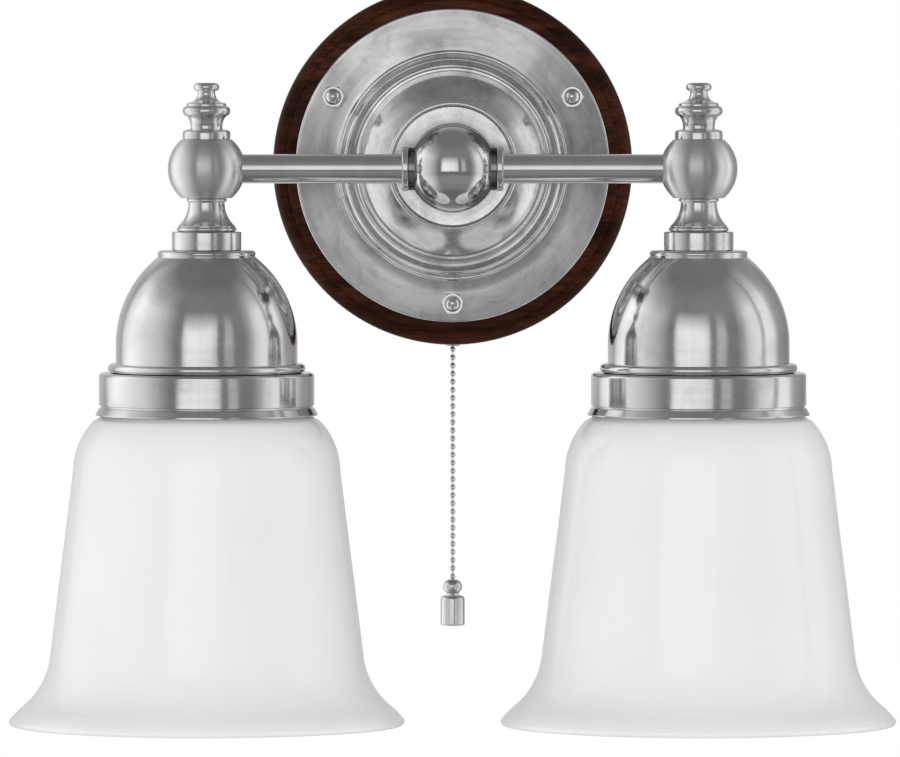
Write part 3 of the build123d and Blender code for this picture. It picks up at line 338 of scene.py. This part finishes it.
def nickel(name, smooth, dull, axis=None, drawn=False, level=0.74, cloud=0.07, lines=0.0, waves=0.0):
    """Nickel plate on brass: faint clouds, rubbed patches, pits, tool lines and shallow waves."""
    material, nodes, links, shader, place = finish(name)
    here = place.outputs["Object"]
    shader.inputs["Metallic"].default_value = 1.0
    clouds = noise(nodes, links, here, 55, detail=5)
    shades = (0.3, level - cloud), (0.5, level), (0.72, level + cloud / 2)
    links.new(ramp(nodes, links, clouds, *shades), shader.inputs["Base Color"])
    marks = here
    if axis:
        turn_reach, along_reach = (0.006, 0.01) if drawn else (0.0015, 1.0)
        marks = tooled(nodes, links, here, axis, turn_reach, along_reach)
    rubbed = noise(nodes, links, marks, 260 if axis else 160, detail=6, rough=0.7)
    links.new(ramp(nodes, links, rubbed, (0.3, smooth), (0.75, dull)), shader.inputs["Roughness"])
    pits = noise(nodes, links, here, 700, detail=3)
    normal = bump(nodes, links, shader, ramp(nodes, links, pits, (0.22, 0.0), (0.34, 1.0)), 0.000004)
    if waves:
        normal = bump(nodes, links, shader, noise(nodes, links, here, 48, detail=1), waves, normal)
    if lines:
        bump(nodes, links, shader, noise(nodes, links, marks, 1900, detail=3, rough=0.8), lines, normal)
    return material


polished_nickel = nickel("polished_nickel", 0.05, 0.16)


def bow(start, end, bulge, steps):
    """Points of a round arc from start to end, after start.

    Its middle stands off by bulge, to the left of the way.
    """
    (x0, y0), (x1, y1) = start, end
    half = ((x1 - x0) ** 2 + (y1 - y0) ** 2) ** 0.5 / 2
    across = ((x1 - x0) / (2 * half), (y1 - y0) / (2 * half))
    left = (-across[1], across[0])
    size = abs(bulge)
    radius = (half**2 + size**2) / (2 * size)
    side = 1 if bulge > 0 else -1
    sink = size - radius
    spread = asin(min(1.0, half / radius)) if size <= half else pi - asin(half / radius)
    points = []
    for step in range(1, steps + 1):
        turn = spread * (2 * step / steps - 1)
        along = radius * sin(turn) + half
        off = side * (sink + radius * cos(turn))
        points.append((x0 + across[0] * along + left[0] * off, y0 + across[1] * along + left[1] * off))
    return points


def outline(start, *steps):
    """Points of a profile in millimetres.

    A step is a point at the end of a straight line, or such a point with the bulge of
    an arc and the number of its parts.
    """
    points = [start]
    for step in steps:
        if len(step) == 2:
            points.append(step)
        else:
            points += bow(points[-1], step[:2], *step[2:])
    return points


def turned(name, profile, centre, along, steps, edge=30):
    """Spin a profile of (radius, distance along), in millimetres, round an axis through centre."""
    centre = Vector(centre) * mm
    along = Vector(along)
    outward = Vector((1, 0, 0))
    points = [centre + outward * radius * mm + along * level * mm for radius, level in profile]
    bpy.ops.object.select_all(action="DESELECT")
    bpy.ops.mesh.primitive_plane_add(size=mm, location=points[0])
    piece = bpy.context.object
    bpy.ops.object.transform_apply(location=True, rotation=False, scale=False)
    bpy.ops.object.mode_set(mode="EDIT")
    bpy.ops.mesh.select_all(action="SELECT")
    bpy.ops.mesh.merge(type="CENTER")
    for here, there in zip(points, points[1:]):
        bpy.ops.mesh.extrude_region_move(TRANSFORM_OT_translate={"value": there - here})
    bpy.ops.mesh.select_all(action="SELECT")
    bpy.ops.mesh.spin(steps=steps, angle=tau, center=centre, axis=along)
    bpy.ops.mesh.select_all(action="SELECT")
    bpy.ops.mesh.remove_doubles(threshold=0.000004)
    bpy.ops.mesh.normals_make_consistent(inside=False)
    bpy.ops.object.mode_set(mode="OBJECT")
    bpy.ops.object.shade_smooth_by_angle(angle=radians(edge))
    piece.name = name
    piece.data.name = name
    return piece


def copied(piece, name, shift):
    """A copy of a finished piece with its own mesh, moved by a shift in millimetres."""
    bpy.ops.object.select_all(action="DESELECT")
    piece.select_set(True)
    bpy.context.view_layer.objects.active = piece
    bpy.ops.object.duplicate(linked=False)
    copy = bpy.context.object
    bpy.ops.transform.translate(value=Vector(shift) * mm)
    bpy.ops.object.transform_apply(location=True, rotation=False, scale=False)
    copy.name = name
    copy.data.name = name
    return copy


def joined(pieces, name):
    """Several meshes as one piece."""
    bpy.ops.object.select_all(action="DESELECT")
    for piece in pieces:
        piece.select_set(True)
    bpy.context.view_layer.objects.active = pieces[0]
    bpy.ops.object.join()
    pieces[0].name = name
    pieces[0].data.name = name
    return pieces[0]


def dress(piece, material, slot, body, *nodes):
    """Give a finished piece its material and its body, and hide the nodes that it stands for. The slot
    argument is not used.
    """
    piece.data.materials.clear()
    piece.data.materials.append(material)
    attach(piece, body)
    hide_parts(*nodes)


route_data = bpy.data.curves.new("chain_route", "CURVE")
route_data.dimensions = "3D"
spline = route_data.splines.new("NURBS")
spline.points.add(len(chain_route) - 1)
for point, (x, y, z) in zip(spline.points, chain_route):
    point.co = (x * mm, (y - chain_out) * mm, z * mm, 1)
spline.order_u = 3
spline.use_endpoint_u = True
route = bpy.data.objects.new("chain_route", route_data)
bpy.context.scene.collection.objects.link(route)
route_mesh = bpy.data.meshes.new_from_object(route)
bpy.data.objects.remove(route)

bead_profile = outline(
    (0, bead_radius),
    (wire_radius, bead_shoulder),
    (wire_radius, -bead_shoulder, bead_radius - wire_radius, 12),
    (0, -bead_radius),
)
link_profile = [(0, link_reach), (wire_radius, link_reach), (wire_radius, -link_reach), (0, -link_reach)]
bead = turned("bead", bead_profile, (0, -chain_out, first_bead), upwards, steps=20, edge=60)
link = turned("link", link_profile, (0, -chain_out, first_bead - bead_pitch / 2), upwards, steps=10)
top_link = turned("top_link", link_profile, (0, -chain_out, first_bead + top_link_rise), upwards, steps=10)
chain_pieces = [bead, link, top_link]
for number in range(1, bead_count):
    chain_pieces.append(copied(bead, "bead", (0, 0, -number * bead_pitch)))
    chain_pieces.append(copied(link, "link", (0, 0, -number * bead_pitch)))
chain = joined(chain_pieces, "bead_chain")
dress(chain, polished_nickel, "nickel", "chain", "pull_chain")

# Turned weight on the chain's end: a ball over a short cylinder
weight_top = -173.6
weight_profile = outline(
    (0, 0), (0.7, 0), (2.55, -5.8, 2.3, 14), (2.5, -6.1), (2.5, -6.8), (5.05, -8.9, 0.9, 8),
    (5.05, -18.9), (4.75, -19.3), (1.6, -19.3), (1.2, -18.6), (0, -18.6),
)
weight = turned("weight", weight_profile, (0, -chain_out, weight_top), upwards, steps=64)
dress(weight, polished_nickel, "nickel", "chain", "chain_weight")

# ---------------------------------------------------------------- wall bracket
# Zinc plated steel disc with slots for the wall screws, held in its rebate by four
# countersunk wood screws with crossed recesses.
outwards = (0, -1, 0)
screw_circle = 46
screw_reach = screw_circle * sin(pi / 4)
screw_profile = [(0, 14), (0.5, 13), (1.75, 10.5), (1.75, 1.65), (3.3, 0.08), (3.2, 0), (0, 0)]
recess_long = 3.6
recess_wide = 0.8
recess_deep = 1.3


def varied(nodes, links, factor, socket, low, high):
    """Let a shader's socket run from low to high with a factor, such as a noise."""
    links.new(ramp(nodes, links, factor, (0.3, low), (0.7, high)), socket)


zinc_steel, nodes, links, shader, place = finish("zinc_steel")
here = place.outputs["Object"]
shader.inputs["Metallic"].default_value = 1.0
spangle = noise(nodes, links, here, 240, detail=2)
varied(nodes, links, spangle, shader.inputs["Base Color"], (0.47, 0.48, 0.50), (0.60, 0.61, 0.64))
scuffs = noise(nodes, links, here, 900, (1, 1, 0.06), detail=4)
varied(nodes, links, scuffs, shader.inputs["Roughness"], 0.26, 0.46)
bump(nodes, links, shader, scuffs, 0.000003)


def worked(piece, tool, operation):
    """Cut a piece with another mesh, or keep only what both share. The tool is used up."""
    bpy.ops.object.select_all(action="DESELECT")
    piece.select_set(True)
    bpy.context.view_layer.objects.active = piece
    step = piece.modifiers.new("work", "BOOLEAN")
    step.operation = operation
    step.object = tool
    bpy.ops.object.modifier_apply(modifier=step.name)
    bpy.data.objects.remove(tool)
    bpy.ops.object.shade_smooth_by_angle(angle=radians(30))


def block(size, centre):
    """A rectangular block, sizes and place in millimetres."""
    bpy.ops.object.select_all(action="DESELECT")
    bpy.ops.mesh.primitive_cube_add(size=mm, location=Vector(centre) * mm)
    piece = bpy.context.object
    bpy.ops.transform.resize(value=size)
    bpy.ops.object.transform_apply(location=True, rotation=False, scale=True)
    return piece


def coat(material, *names):
    """Give CAD nodes whose shape is right their finish."""
    for name in names:
        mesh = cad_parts[name].data
        mesh.materials.clear()
        mesh.materials.append(material)


screw_place = (screw_reach, 0, screw_reach)
screw = turned("bracket_screw", screw_profile, screw_place, outwards, steps=32)
for long, high in ((recess_long, recess_wide), (recess_wide, recess_long)):
    worked(screw, block((long, 2 * recess_deep, high), screw_place), "DIFFERENCE")
screws = [screw]
for shift in ((-2 * screw_reach, 0, 0), (0, 0, -2 * screw_reach), (-2 * screw_reach, 0, -2 * screw_reach)):
    screws.append(copied(screw, "bracket_screw", shift))
dress(joined(screws, "crossed_screws"), zinc_steel, "zinc_steel", "base", "bracket_screws")
coat(zinc_steel, "wall_bracket")

# ---------------------------------------------------------------- cable grommet
# Soft rubber grommet that lines the bracket's cable hole. The cable from the wall
# comes in through it.
rubber, nodes, links, shader, place = finish("rubber")
bloom = noise(nodes, links, place.outputs["Object"], 420, detail=5)
varied(nodes, links, bloom, shader.inputs["Base Color"], 0.010, 0.026)
varied(nodes, links, bloom, shader.inputs["Roughness"], 0.58, 0.74)
bump(nodes, links, shader, bloom, 0.00001)
coat(rubber, "cable_grommet")

# ---------------------------------------------------------------- wooden base
# Turned from one board, stained dark and varnished. The rounded front edge has a
# shallow groove inside it, and the grain lies level.
wood_front = 25.0
wood_well = 42.0
wood_rebate = 51.3
rebate_depth = 2.0
wood_edge = 75.0
bore_radius = 2.45
bore_length = 60
bore_middle = -60
wood_profile = outline(
    (wood_well, wood_front), (68.3, wood_front), (69.3, 24.0, 0.29, 5), (69.3, 23.9),
    (69.6, 23.75), (70.0, 23.75), (70.3, 23.95), (wood_edge, 18.9, 1.35, 10), (wood_edge, 0.9),
    (74.1, 0), (wood_rebate, 0), (wood_rebate, rebate_depth), (wood_well, rebate_depth),
    (wood_well, wood_front),
)


def multiplied(nodes, links, first, second):
    """One colour times another."""
    mix = nodes.new("ShaderNodeMix")
    mix.data_type = "RGBA"
    mix.blend_type = "MULTIPLY"
    mix.inputs[0].default_value = 1.0
    links.new(first, mix.inputs[6])
    links.new(second, mix.inputs[7])
    return mix.outputs[2]


dark_wood, nodes, links, shader, place = finish("dark_wood")
here = place.outputs["Object"]
bands = noise(nodes, links, here, 95, (0.10, 1, 1), detail=6, rough=0.6, warp=0.5)
pores = noise(nodes, links, here, 900, (0.045, 1, 1), detail=5, rough=0.7)
stain = ramp(
    nodes, links, bands,
    (0.30, (0.0120, 0.0032, 0.0014)),
    (0.46, (0.0280, 0.0066, 0.0026)),
    (0.60, (0.0500, 0.0130, 0.0056)),
    (0.72, (0.0180, 0.0046, 0.0020)),
)
fibre = ramp(nodes, links, pores, (0.36, 0.42), (0.50, 1.0), (0.68, 1.6))
links.new(multiplied(nodes, links, stain, fibre), shader.inputs["Base Color"])
shader.inputs["Specular IOR Level"].default_value = 0.10
links.new(ramp(nodes, links, pores, (0.35, 0.46), (0.65, 0.27)), shader.inputs["Roughness"])
bump(nodes, links, shader, ramp(nodes, links, pores, (0.34, 0.0), (0.46, 1.0)), 0.00003)

wood = turned("turned_base", wood_profile, (0, 0, 0), outwards, steps=192)
bpy.ops.mesh.primitive_cylinder_add(
    vertices=32,
    radius=bore_radius * mm,
    depth=bore_length * mm,
    location=(0, -chain_out * mm, bore_middle * mm),
)
worked(wood, bpy.context.object, "DIFFERENCE")
dress(wood, dark_wood, "dark_wood", "base", "wooden_base")

# ---------------------------------------------------------------- wiring in the well
# White nylon terminal block with plated screws, and twin leads in pale silicone
# sleeves, which run through the arms to the lampholders.
white_moulding, nodes, links, shader, place = finish("white_moulding")
grain = noise(nodes, links, place.outputs["Object"], 600, detail=4)
varied(nodes, links, grain, shader.inputs["Base Color"], (0.74, 0.74, 0.70), (0.82, 0.82, 0.79))
varied(nodes, links, grain, shader.inputs["Roughness"], 0.34, 0.48)
coat(white_moulding, "terminal_block")
coat(zinc_steel, "terminal_screws")

wire_sleeve, nodes, links, shader, place = finish("wire_sleeve")
grain = noise(nodes, links, place.outputs["Object"], 800, detail=3)
varied(nodes, links, grain, shader.inputs["Base Color"], (0.58, 0.56, 0.50), (0.68, 0.66, 0.60))
shader.inputs["Roughness"].default_value = 0.5
coat(wire_sleeve, "left_lead", "right_lead")

# ---------------------------------------------------------------- pull switch
# Black moulded housing, cover and cam wheel. The cam turns on a steel pin, and the
# plunger and the contact strips are brass.
black_moulding, nodes, links, shader, place = finish("black_moulding")
flow = noise(nodes, links, place.outputs["Object"], 260, detail=5, warp=1.2)
varied(nodes, links, flow, shader.inputs["Base Color"], (0.014, 0.012, 0.011), (0.030, 0.026, 0.023))
varied(nodes, links, flow, shader.inputs["Roughness"], 0.20, 0.36)
bump(nodes, links, shader, flow, 0.000006)
coat(black_moulding, "switch_housing", "switch_cover", "cam_wheel")
coat(zinc_steel, "cam_pin")

brass, nodes, links, shader, place = finish("brass")
here = place.outputs["Object"]
shader.inputs["Metallic"].default_value = 1.0
tarnish = noise(nodes, links, here, 180, detail=5)
varied(nodes, links, tarnish, shader.inputs["Base Color"], (0.50, 0.33, 0.12), (0.72, 0.52, 0.22))
varied(nodes, links, tarnish, shader.inputs["Roughness"], 0.34, 0.18)
bump(nodes, links, shader, noise(nodes, links, here, 1500, detail=3), 0.000002)
coat(brass, "pull_plunger", "switch_contacts")

# ---------------------------------------------------------------- return spring
# Coil of steel wire round the plunger's rod. It stands on the housing's floor and
# the plunger's head presses it to half its height.
coil_floor = -37.9
coil_height = 15.95
coil_wire = 0.3
coil_radius = 2.7
coil_turns = 6
coil_parts = 36
bpy.ops.object.select_all(action="DESELECT")
bpy.ops.mesh.primitive_circle_add(
    vertices=14, radius=coil_wire * mm, location=(0, 0, 0), rotation=(pi / 2, 0, 0)
)
coil = bpy.context.object
bpy.ops.object.transform_apply(location=True, rotation=True, scale=True)
bpy.ops.object.mode_set(mode="EDIT")
bpy.ops.mesh.select_all(action="SELECT")
bpy.ops.transform.translate(value=(coil_radius * mm, 0, 0))
bpy.ops.object.mode_set(mode="OBJECT")
winding = coil.modifiers.new("winding", "SCREW")
winding.axis = "Z"
winding.angle = tau
winding.screw_offset = (coil_height - 2 * coil_wire) / coil_turns * mm
winding.iterations = coil_turns
winding.steps = coil_parts
winding.render_steps = coil_parts
bpy.ops.object.modifier_apply(modifier=winding.name)
bpy.ops.object.mode_set(mode="EDIT")
bpy.ops.mesh.select_all(action="SELECT")
bpy.ops.mesh.remove_doubles(threshold=0.000004)
bpy.ops.mesh.fill_holes(sides=16)
bpy.ops.mesh.select_all(action="SELECT")
bpy.ops.mesh.normals_make_consistent(inside=False)
bpy.ops.transform.translate(value=(0, -chain_out * mm, (coil_floor + coil_wire) * mm))
bpy.ops.object.mode_set(mode="OBJECT")
bpy.ops.object.shade_smooth_by_angle(angle=radians(40))
coil.name = "coil_spring"
coil.data.name = "coil_spring"
dress(coil, zinc_steel, "zinc_steel", "base", "return_spring")
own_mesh(coil)

# ---------------------------------------------------------------- ferrule
# Nickelled ferrule with a rolled lip in the wood's bottom edge, the beads above it
# and the bead that the hanging chain swings on.
coat(polished_nickel, "chain_ferrule", "upper_chain", "pivot_bead")

# ---------------------------------------------------------------- back plate
# Spun from one sheet: a flat margin, a small bead beside a ridge, and a slope up to
# a boss with its own bead. Satin polished and cloudy with age. Painted shade and painted
# reflection darken the margin at its sides.
plate_bore = 5.2
boss_radius = 24.6
boss_level = 36.1
margin_radius = 53.0
margin_level = 26.2
plate_radius = 65.5
plate_back = 25.0
margin_band_start = 47.5
margin_band_full = 50.0
margin_band_fades = 64.4
margin_band_ends = 64.8
plate_profile = outline(
    (plate_bore, boss_level), (boss_radius, boss_level), (27.2, boss_level, 1.0, 8),
    (39.3, 26.3, 0.75, 12), (39.7, 26.1), (40.6, 26.1), (40.9, 26.3), (43.9, 28.5, 0.25, 5),
    (44.6, 28.5, 0.12, 4), (45.9, 27.0, 0.2, 4), (46.0, 26.95), (48.2, 26.7, 0.8, 8),
    (margin_radius, margin_level, -0.09, 8), (64.7, margin_level), (plate_radius, 25.4, 0.23, 5),
    (plate_radius, plate_back), (margin_radius, plate_back), (47.0, 25.5), (39.4, 25.5),
    (boss_radius, 34.9), (plate_bore, 34.9), (plate_bore, boss_level),
)


def darken_for_grime_and_shade(material, darkness, depth):
    """Darken a metal by a factor from 0 to 1, for real grime and stains and for painted shade."""
    nodes, links = material.node_tree.nodes, material.node_tree.links
    colour = nodes["Principled BSDF"].inputs["Base Color"]
    shade = ramp(nodes, links, darkness, (0.0, 1.0), (1.0, 1.0 - depth))
    links.new(multiplied(nodes, links, colour.links[0].from_socket, shade), colour)


spun_plate = nickel(
    "spun_plate", 0.10, 0.24, axis="rosette", level=0.86, cloud=0.10, lines=0.000003, waves=0.00004
)
nodes, links = spun_plate.node_tree.nodes, spun_plate.node_tree.links
here = nodes["Texture Coordinate"].outputs["Object"]
rings = tooled(nodes, links, here, "rosette", 0.012, 1.0)
arcs = noise(nodes, links, rings, 210, detail=7, rough=0.7, warp=0.4)
darken_for_grime_and_shade(spun_plate, ramp(nodes, links, arcs, (0.42, 0.0), (0.66, 1.0)), 0.22)
stains = noise(nodes, links, here, 46, detail=8, rough=0.66, warp=1.4)
darken_for_grime_and_shade(spun_plate, ramp(nodes, links, stains, (0.50, 0.0), (0.68, 1.0)), 0.26)

# The flat margin is duller. Painted shade darkens it by turn round the plate, standing in
# for the dark reflections of a satin margin: from the bottom by the left side, the top at
# 0.5 and the right side, darkest at the sides. The painted shade stops short of the rim,
# which stays bright. A ramp ends at 1, so that the radius goes into it in tenths of a metre.
radius, turn, _ = lathe(nodes, links, here, "rosette")
margin = share(nodes, links, radius, margin_band_start * mm, margin_band_full * mm)
tenths = maths(nodes, links, "MULTIPLY", radius, 10)
inside = ramp(nodes, links, tenths, (margin_band_fades * mm * 10, 1.0), (margin_band_ends * mm * 10, 0.0))
flat = maths(nodes, links, "MULTIPLY", margin, inside)
# Painted shade and reflection: darkest at the left and right sides, lighter at the top and bottom.
painted_side_shade = ramp(
    nodes, links, share(nodes, links, turn, -pi, pi),
    (0.0, 0.30), (0.07, 0.05), (0.167, 0.42), (0.23, 0.75), (0.29, 0.75), (0.35, 0.45),
    (0.41, 0.0), (0.5, 0.35), (0.58, 0.08), (0.65, 0.80), (0.72, 1.0), (0.77, 0.55),
    (0.84, 0.42), (0.92, 0.38), (1.0, 0.30),
)
darken_for_grime_and_shade(spun_plate, maths(nodes, links, "MULTIPLY", painted_side_shade, flat), 0.58)
satin = nodes["Principled BSDF"].inputs["Roughness"]
dulled = maths(nodes, links, "MULTIPLY", flat, 0.16)
links.new(maths(nodes, links, "ADD", satin.links[0].from_socket, dulled), satin)
plate = turned("spun_back_plate", plate_profile, (0, 0, 0), outwards, steps=192)
dress(plate, spun_plate, "spun_nickel", "base", "back_plate")

# ---------------------------------------------------------------- cap nuts
# Three turned brass cap nuts, nickelled: a hexagon with chamfered corners under a
# round dome. They hold the plate on its steel studs.
stud_circle = 57.5
nut_corner = 4.85
nut_foot = margin_level
nut_top = 30.4
nut_dome = 3.3
blank_height = 8
blank_middle = 28
nut_place = (0, 0, -stud_circle)
form_radius = nut_corner + 0.05
form_profile = [(0, nut_top), (4.15, nut_top), (form_radius, nut_top - 0.5)]
form_profile += [(form_radius, nut_foot), (0, nut_foot)]
dome_foot = nut_top - 0.1
dome_profile = outline(
    (0, 35.0), (nut_dome, 31.7, 0.967, 8), (nut_dome, 30.9), (nut_dome - 0.25, 30.6),
    (nut_dome + 0.35, dome_foot), (0, dome_foot),
)
bpy.ops.object.select_all(action="DESELECT")
bpy.ops.mesh.primitive_cylinder_add(
    vertices=6,
    radius=nut_corner * mm,
    depth=blank_height * mm,
    location=(0, -blank_middle * mm, -stud_circle * mm),
    rotation=(pi / 2, pi / 6, 0),
)
hexagon = bpy.context.object
bpy.ops.object.transform_apply(location=True, rotation=True, scale=True)
worked(hexagon, turned("nut_form", form_profile, nut_place, outwards, steps=48), "INTERSECT")
nut = joined([hexagon, turned("nut_dome", dome_profile, nut_place, outwards, steps=40)], "cap_nut")
nuts = [nut]
for side in (-1, 1):
    shift = (side * stud_circle * cos(pi / 6), 0, stud_circle * (1 + sin(pi / 6)))
    nuts.append(copied(nut, "cap_nut", shift))
dress(joined(nuts, "domed_cap_nuts"), polished_nickel, "nickel", "base", "cap_nuts")
coat(zinc_steel, "base_studs")

# ---------------------------------------------------------------- stem and hub
# Turned stem on the plate's boss, and the hollow hub ball with a neck for each arm.
# A brass pipe holds them. Painted shade darkens the corners where the necks meet the ball,
# and painted dark reflections mark the ball's shoulders.
neck_shade_start = 13.5
neck_shade_full = 16.0
shoulder_shade_gain = 10000  # a shoulder 10 mm beside and 10 mm above the middle counts as 1
rosette_nickel = nickel("rosette_nickel", 0.09, 0.22, axis="rosette", lines=0.0000015)
coat(rosette_nickel, "stem")
coat(brass, "centre_pipe", "pipe_nut")
hub_nickel = nickel("hub_nickel", 0.04, 0.10, axis="arm", lines=0.0000006, waves=0.00002)
nodes, links = hub_nickel.node_tree.nodes, hub_nickel.node_tree.links
here = nodes["Texture Coordinate"].outputs["Object"]
split = nodes.new("ShaderNodeSeparateXYZ")
links.new(here, split.inputs["Vector"])
beside = maths(nodes, links, "ABSOLUTE", split.outputs["X"])
# Painted shade in the corners by the necks.
darken_for_grime_and_shade(hub_nickel, share(nodes, links, beside, neck_shade_start * mm, neck_shade_full * mm), 0.6)
# Painted dark reflections on the ball's shoulders above and below each neck, broken up by noise.
above = maths(nodes, links, "ABSOLUTE", split.outputs["Z"])
shoulder = maths(nodes, links, "MULTIPLY", beside, above)
patches = noise(nodes, links, here, 420, detail=5)
spread = maths(nodes, links, "ADD", maths(nodes, links, "MULTIPLY", shoulder, shoulder_shade_gain), patches)
painted_shoulder_shade = maths(nodes, links, "SUBTRACT", spread, 1.0)
darken_for_grime_and_shade(hub_nickel, ramp(nodes, links, painted_shoulder_shade, (0.30, 0.0), (0.66, 1.0)), 0.80)
coat(hub_nickel, "hub_ball")

# ---------------------------------------------------------------- arms
# Drawn brass tube, nickelled, with fine lines along it. A round lock nut closes
# each joint with the hub.
drawn_nickel = nickel("drawn_nickel", 0.10, 0.22, axis="arm", drawn=True, lines=0.0000015)
arm_nut_nickel = nickel("arm_nut_nickel", 0.08, 0.20, axis="arm", lines=0.0000015)
coat(drawn_nickel, "left_arm_tube", "right_arm_tube")
coat(arm_nut_nickel, "left_arm_nut", "right_arm_nut")

# ---------------------------------------------------------------- end balls
# Turned hollow balls, flat above and below. Lathe marks run round them and smear
# what they mirror upwards and downwards.
brushed_nickel = nickel("brushed_nickel", 0.27, 0.40, axis="lamp", level=0.78, lines=0.000004)
nodes, links = brushed_nickel.node_tree.nodes, brushed_nickel.node_tree.links
shader = nodes["Principled BSDF"]
round_axis = nodes.new("ShaderNodeTangent")
round_axis.direction_type = "RADIAL"
round_axis.axis = "Z"
shader.inputs["Anisotropic"].default_value = 0.9
shader.inputs["Anisotropic Rotation"].default_value = 0.25
links.new(round_axis.outputs["Tangent"], shader.inputs["Tangent"])
coat(brushed_nickel, "left_end_ball", "right_end_ball")

# ---------------------------------------------------------------- finials, necks and collars
# Turned brass, nickelled. The finial screws down on the ball, and the waisted neck
# stands on a plain collar that carries the dome.
lamps = ("left", -lamp_out), ("right", lamp_out)
ball_flat = 12.0
finial_profile = outline(
    (0, 35.3), (3.2, 35.3), (5.25, 33.5, 0.60, 6), (3.75, 31.9, 0.45, 5), (3.55, 31.3),
    (5.3, 27.9, -0.45, 7), (7.6, 27.0, -0.10, 3), (8.2, 26.2, 0.20, 4), (8.2, 25.9),
    (8.7, 21.8, 1.36, 10), (7.8, 21.3), (7.5, 20.8), (6.6, 18.0, -0.20, 5), (6.5, 16.9),
    (6.7, 16.3), (8.8, 15.9, 0.10, 3), (9.75, 14.7, 0.25, 4), (9.8, 14.4), (9.8, 12.3),
    (9.5, ball_flat), (0, ball_flat),
)
neck_profile = outline(
    (0, -ball_flat), (7.7, -ball_flat), (7.7, -13.5, 0.62, 6), (7.45, -13.8), (7.45, -14.4),
    (11.7, -23.5, -1.05, 12), (11.7, -23.8), (11.35, -23.85), (11.35, -25.75, 0.95, 8),
    (10.9, -25.8), (0, -25.8),
)
turned_nickel = nickel(
    "turned_nickel", 0.09, 0.24, axis="lamp", cloud=0.12, lines=0.0000015, waves=0.00003
)
for side, lamp_x in lamps:
    for name, profile in (("finial", finial_profile), ("neck", neck_profile)):
        piece = turned(f"{side}_turned_{name}", profile, (lamp_x, -arm_out, 0), upwards, steps=128)
        dress(piece, turned_nickel, "nickel", "base", f"{side}_{name}")
    coat(turned_nickel, f"{side}_collar")

# ---------------------------------------------------------------- domes and galleries
# Spun from brass sheet and nickelled. The polish leaves shallow waves and rubbed
# rings, and each gallery carries its shade's screw neck.
spun_nickel = nickel(
    "spun_nickel", 0.07, 0.18, axis="lamp", cloud=0.13, lines=0.0000012, waves=0.0002
)
for side in ("left", "right"):
    coat(spun_nickel, f"{side}_dome", f"{side}_gallery")

# ---------------------------------------------------------------- lampholders
# Black moulded cap and body with grip rings, on a brass pipe, and a brass shell
# rolled into the screw thread for the lamp, over the centre contact.
holder_radius = 19.5
groove_radius = 19.0
holder_top = -49.0
holder_foot = -95.0
mouth_radius = 14.2
mouth_top = -70.0
ring_count = 9
ring_pitch = 3.2
first_ring = -58.0
holder_profile = [(0, holder_top), (19.2, holder_top), (holder_radius, holder_top - 0.4)]
for ring in range(ring_count):
    level = first_ring - ring_pitch * ring
    holder_profile += [(holder_radius, level), (groove_radius, level - 0.5)]
    holder_profile += [(groove_radius, level - 1.1), (holder_radius, level - 1.6)]
holder_profile += outline(
    (holder_radius, holder_foot + 1), (18.5, holder_foot, 0.29, 4), (15.4, holder_foot),
    (mouth_radius, holder_foot + 1.1), (mouth_radius, mouth_top), (0, mouth_top),
)
thread_pitch = 3.63
thread_radius = 13.55
thread_depth = 0.38
thread_top = -73.0
turn_parts = 8
thread_points = 47
shell_wall = 0.4
thread_line = []
for step in range(thread_points):
    level = thread_top - thread_pitch * step / turn_parts
    thread_line.append((thread_radius + thread_depth * sin(tau * step / turn_parts), level))


def walled(line, wall):
    """Close a line down the outside of a piece into a wall of even thickness with round ends."""
    inner = []
    for number, (radius, level) in enumerate(line):
        before = Vector(line[max(number - 1, 0)])
        after = Vector(line[min(number + 1, len(line) - 1)])
        run = (after - before).normalized()
        inner.append((radius + run.y * wall, level - run.x * wall))
    inner.reverse()
    end = bow(line[-1], inner[0], wall * 0.4, 6)
    start = bow(inner[-1], line[0], wall * 0.4, 6)
    return list(line) + end + inner[1:] + start


for side, lamp_x in lamps:
    piece = turned(f"{side}_holder", holder_profile, (lamp_x, -arm_out, 0), upwards, steps=96)
    dress(piece, black_moulding, "black_moulding", "base", f"{side}_holder_body")
    shell_profile = walled(thread_line, shell_wall)
    piece = turned(f"{side}_thread_shell", shell_profile, (lamp_x, -arm_out, 0), upwards, steps=96)
    dress(piece, brass, "brass", "base", f"{side}_screw_shell")
    coat(black_moulding, f"{side}_holder_cap")
    coat(brass, f"{side}_lamp_pipe", f"{side}_centre_contact")

# ---------------------------------------------------------------- glass shades
# Mould-blown opal glass, white right through with a fire polished skin. The neck's
# screw rim sits on a rubber ring in the gallery, and the rounded lip flares out.
glass_wall = 3.0
glass_line = outline(
    (41.9, -87.9), (41.9, -99.8), (46.4, -103.3, -0.45, 5), (54.9, -123.7, 2.1, 12),
    (58.0, -148.9), (61.2, -174.0), (64.3, -199.2), (77.0, -221.9, -2.8, 14), (79.1, -224.1),
    (81.1, -226.3),
)

opal_glass, nodes, links, shader, place = finish("opal_glass")
here = place.outputs["Object"]
milk = noise(nodes, links, here, 16, detail=3, warp=0.6)
varied(nodes, links, milk, shader.inputs["Base Color"], (0.83, 0.83, 0.832), (0.86, 0.86, 0.86))
skin = noise(nodes, links, here, 300, detail=3)
varied(nodes, links, skin, shader.inputs["Roughness"], 0.06, 0.12)
bump(nodes, links, shader, noise(nodes, links, here, 30, detail=2), 0.00006)
glass_profile = walled(glass_line, glass_wall)
for side, lamp_x in lamps:
    piece = turned(f"{side}_bell_glass", glass_profile, (lamp_x, -arm_out, 0), upwards, steps=192, edge=40)
    dress(piece, opal_glass, "opal_glass", f"{side}_shade", f"{side}_glass_shade")
    coat(rubber, f"{side}_shade_gasket")
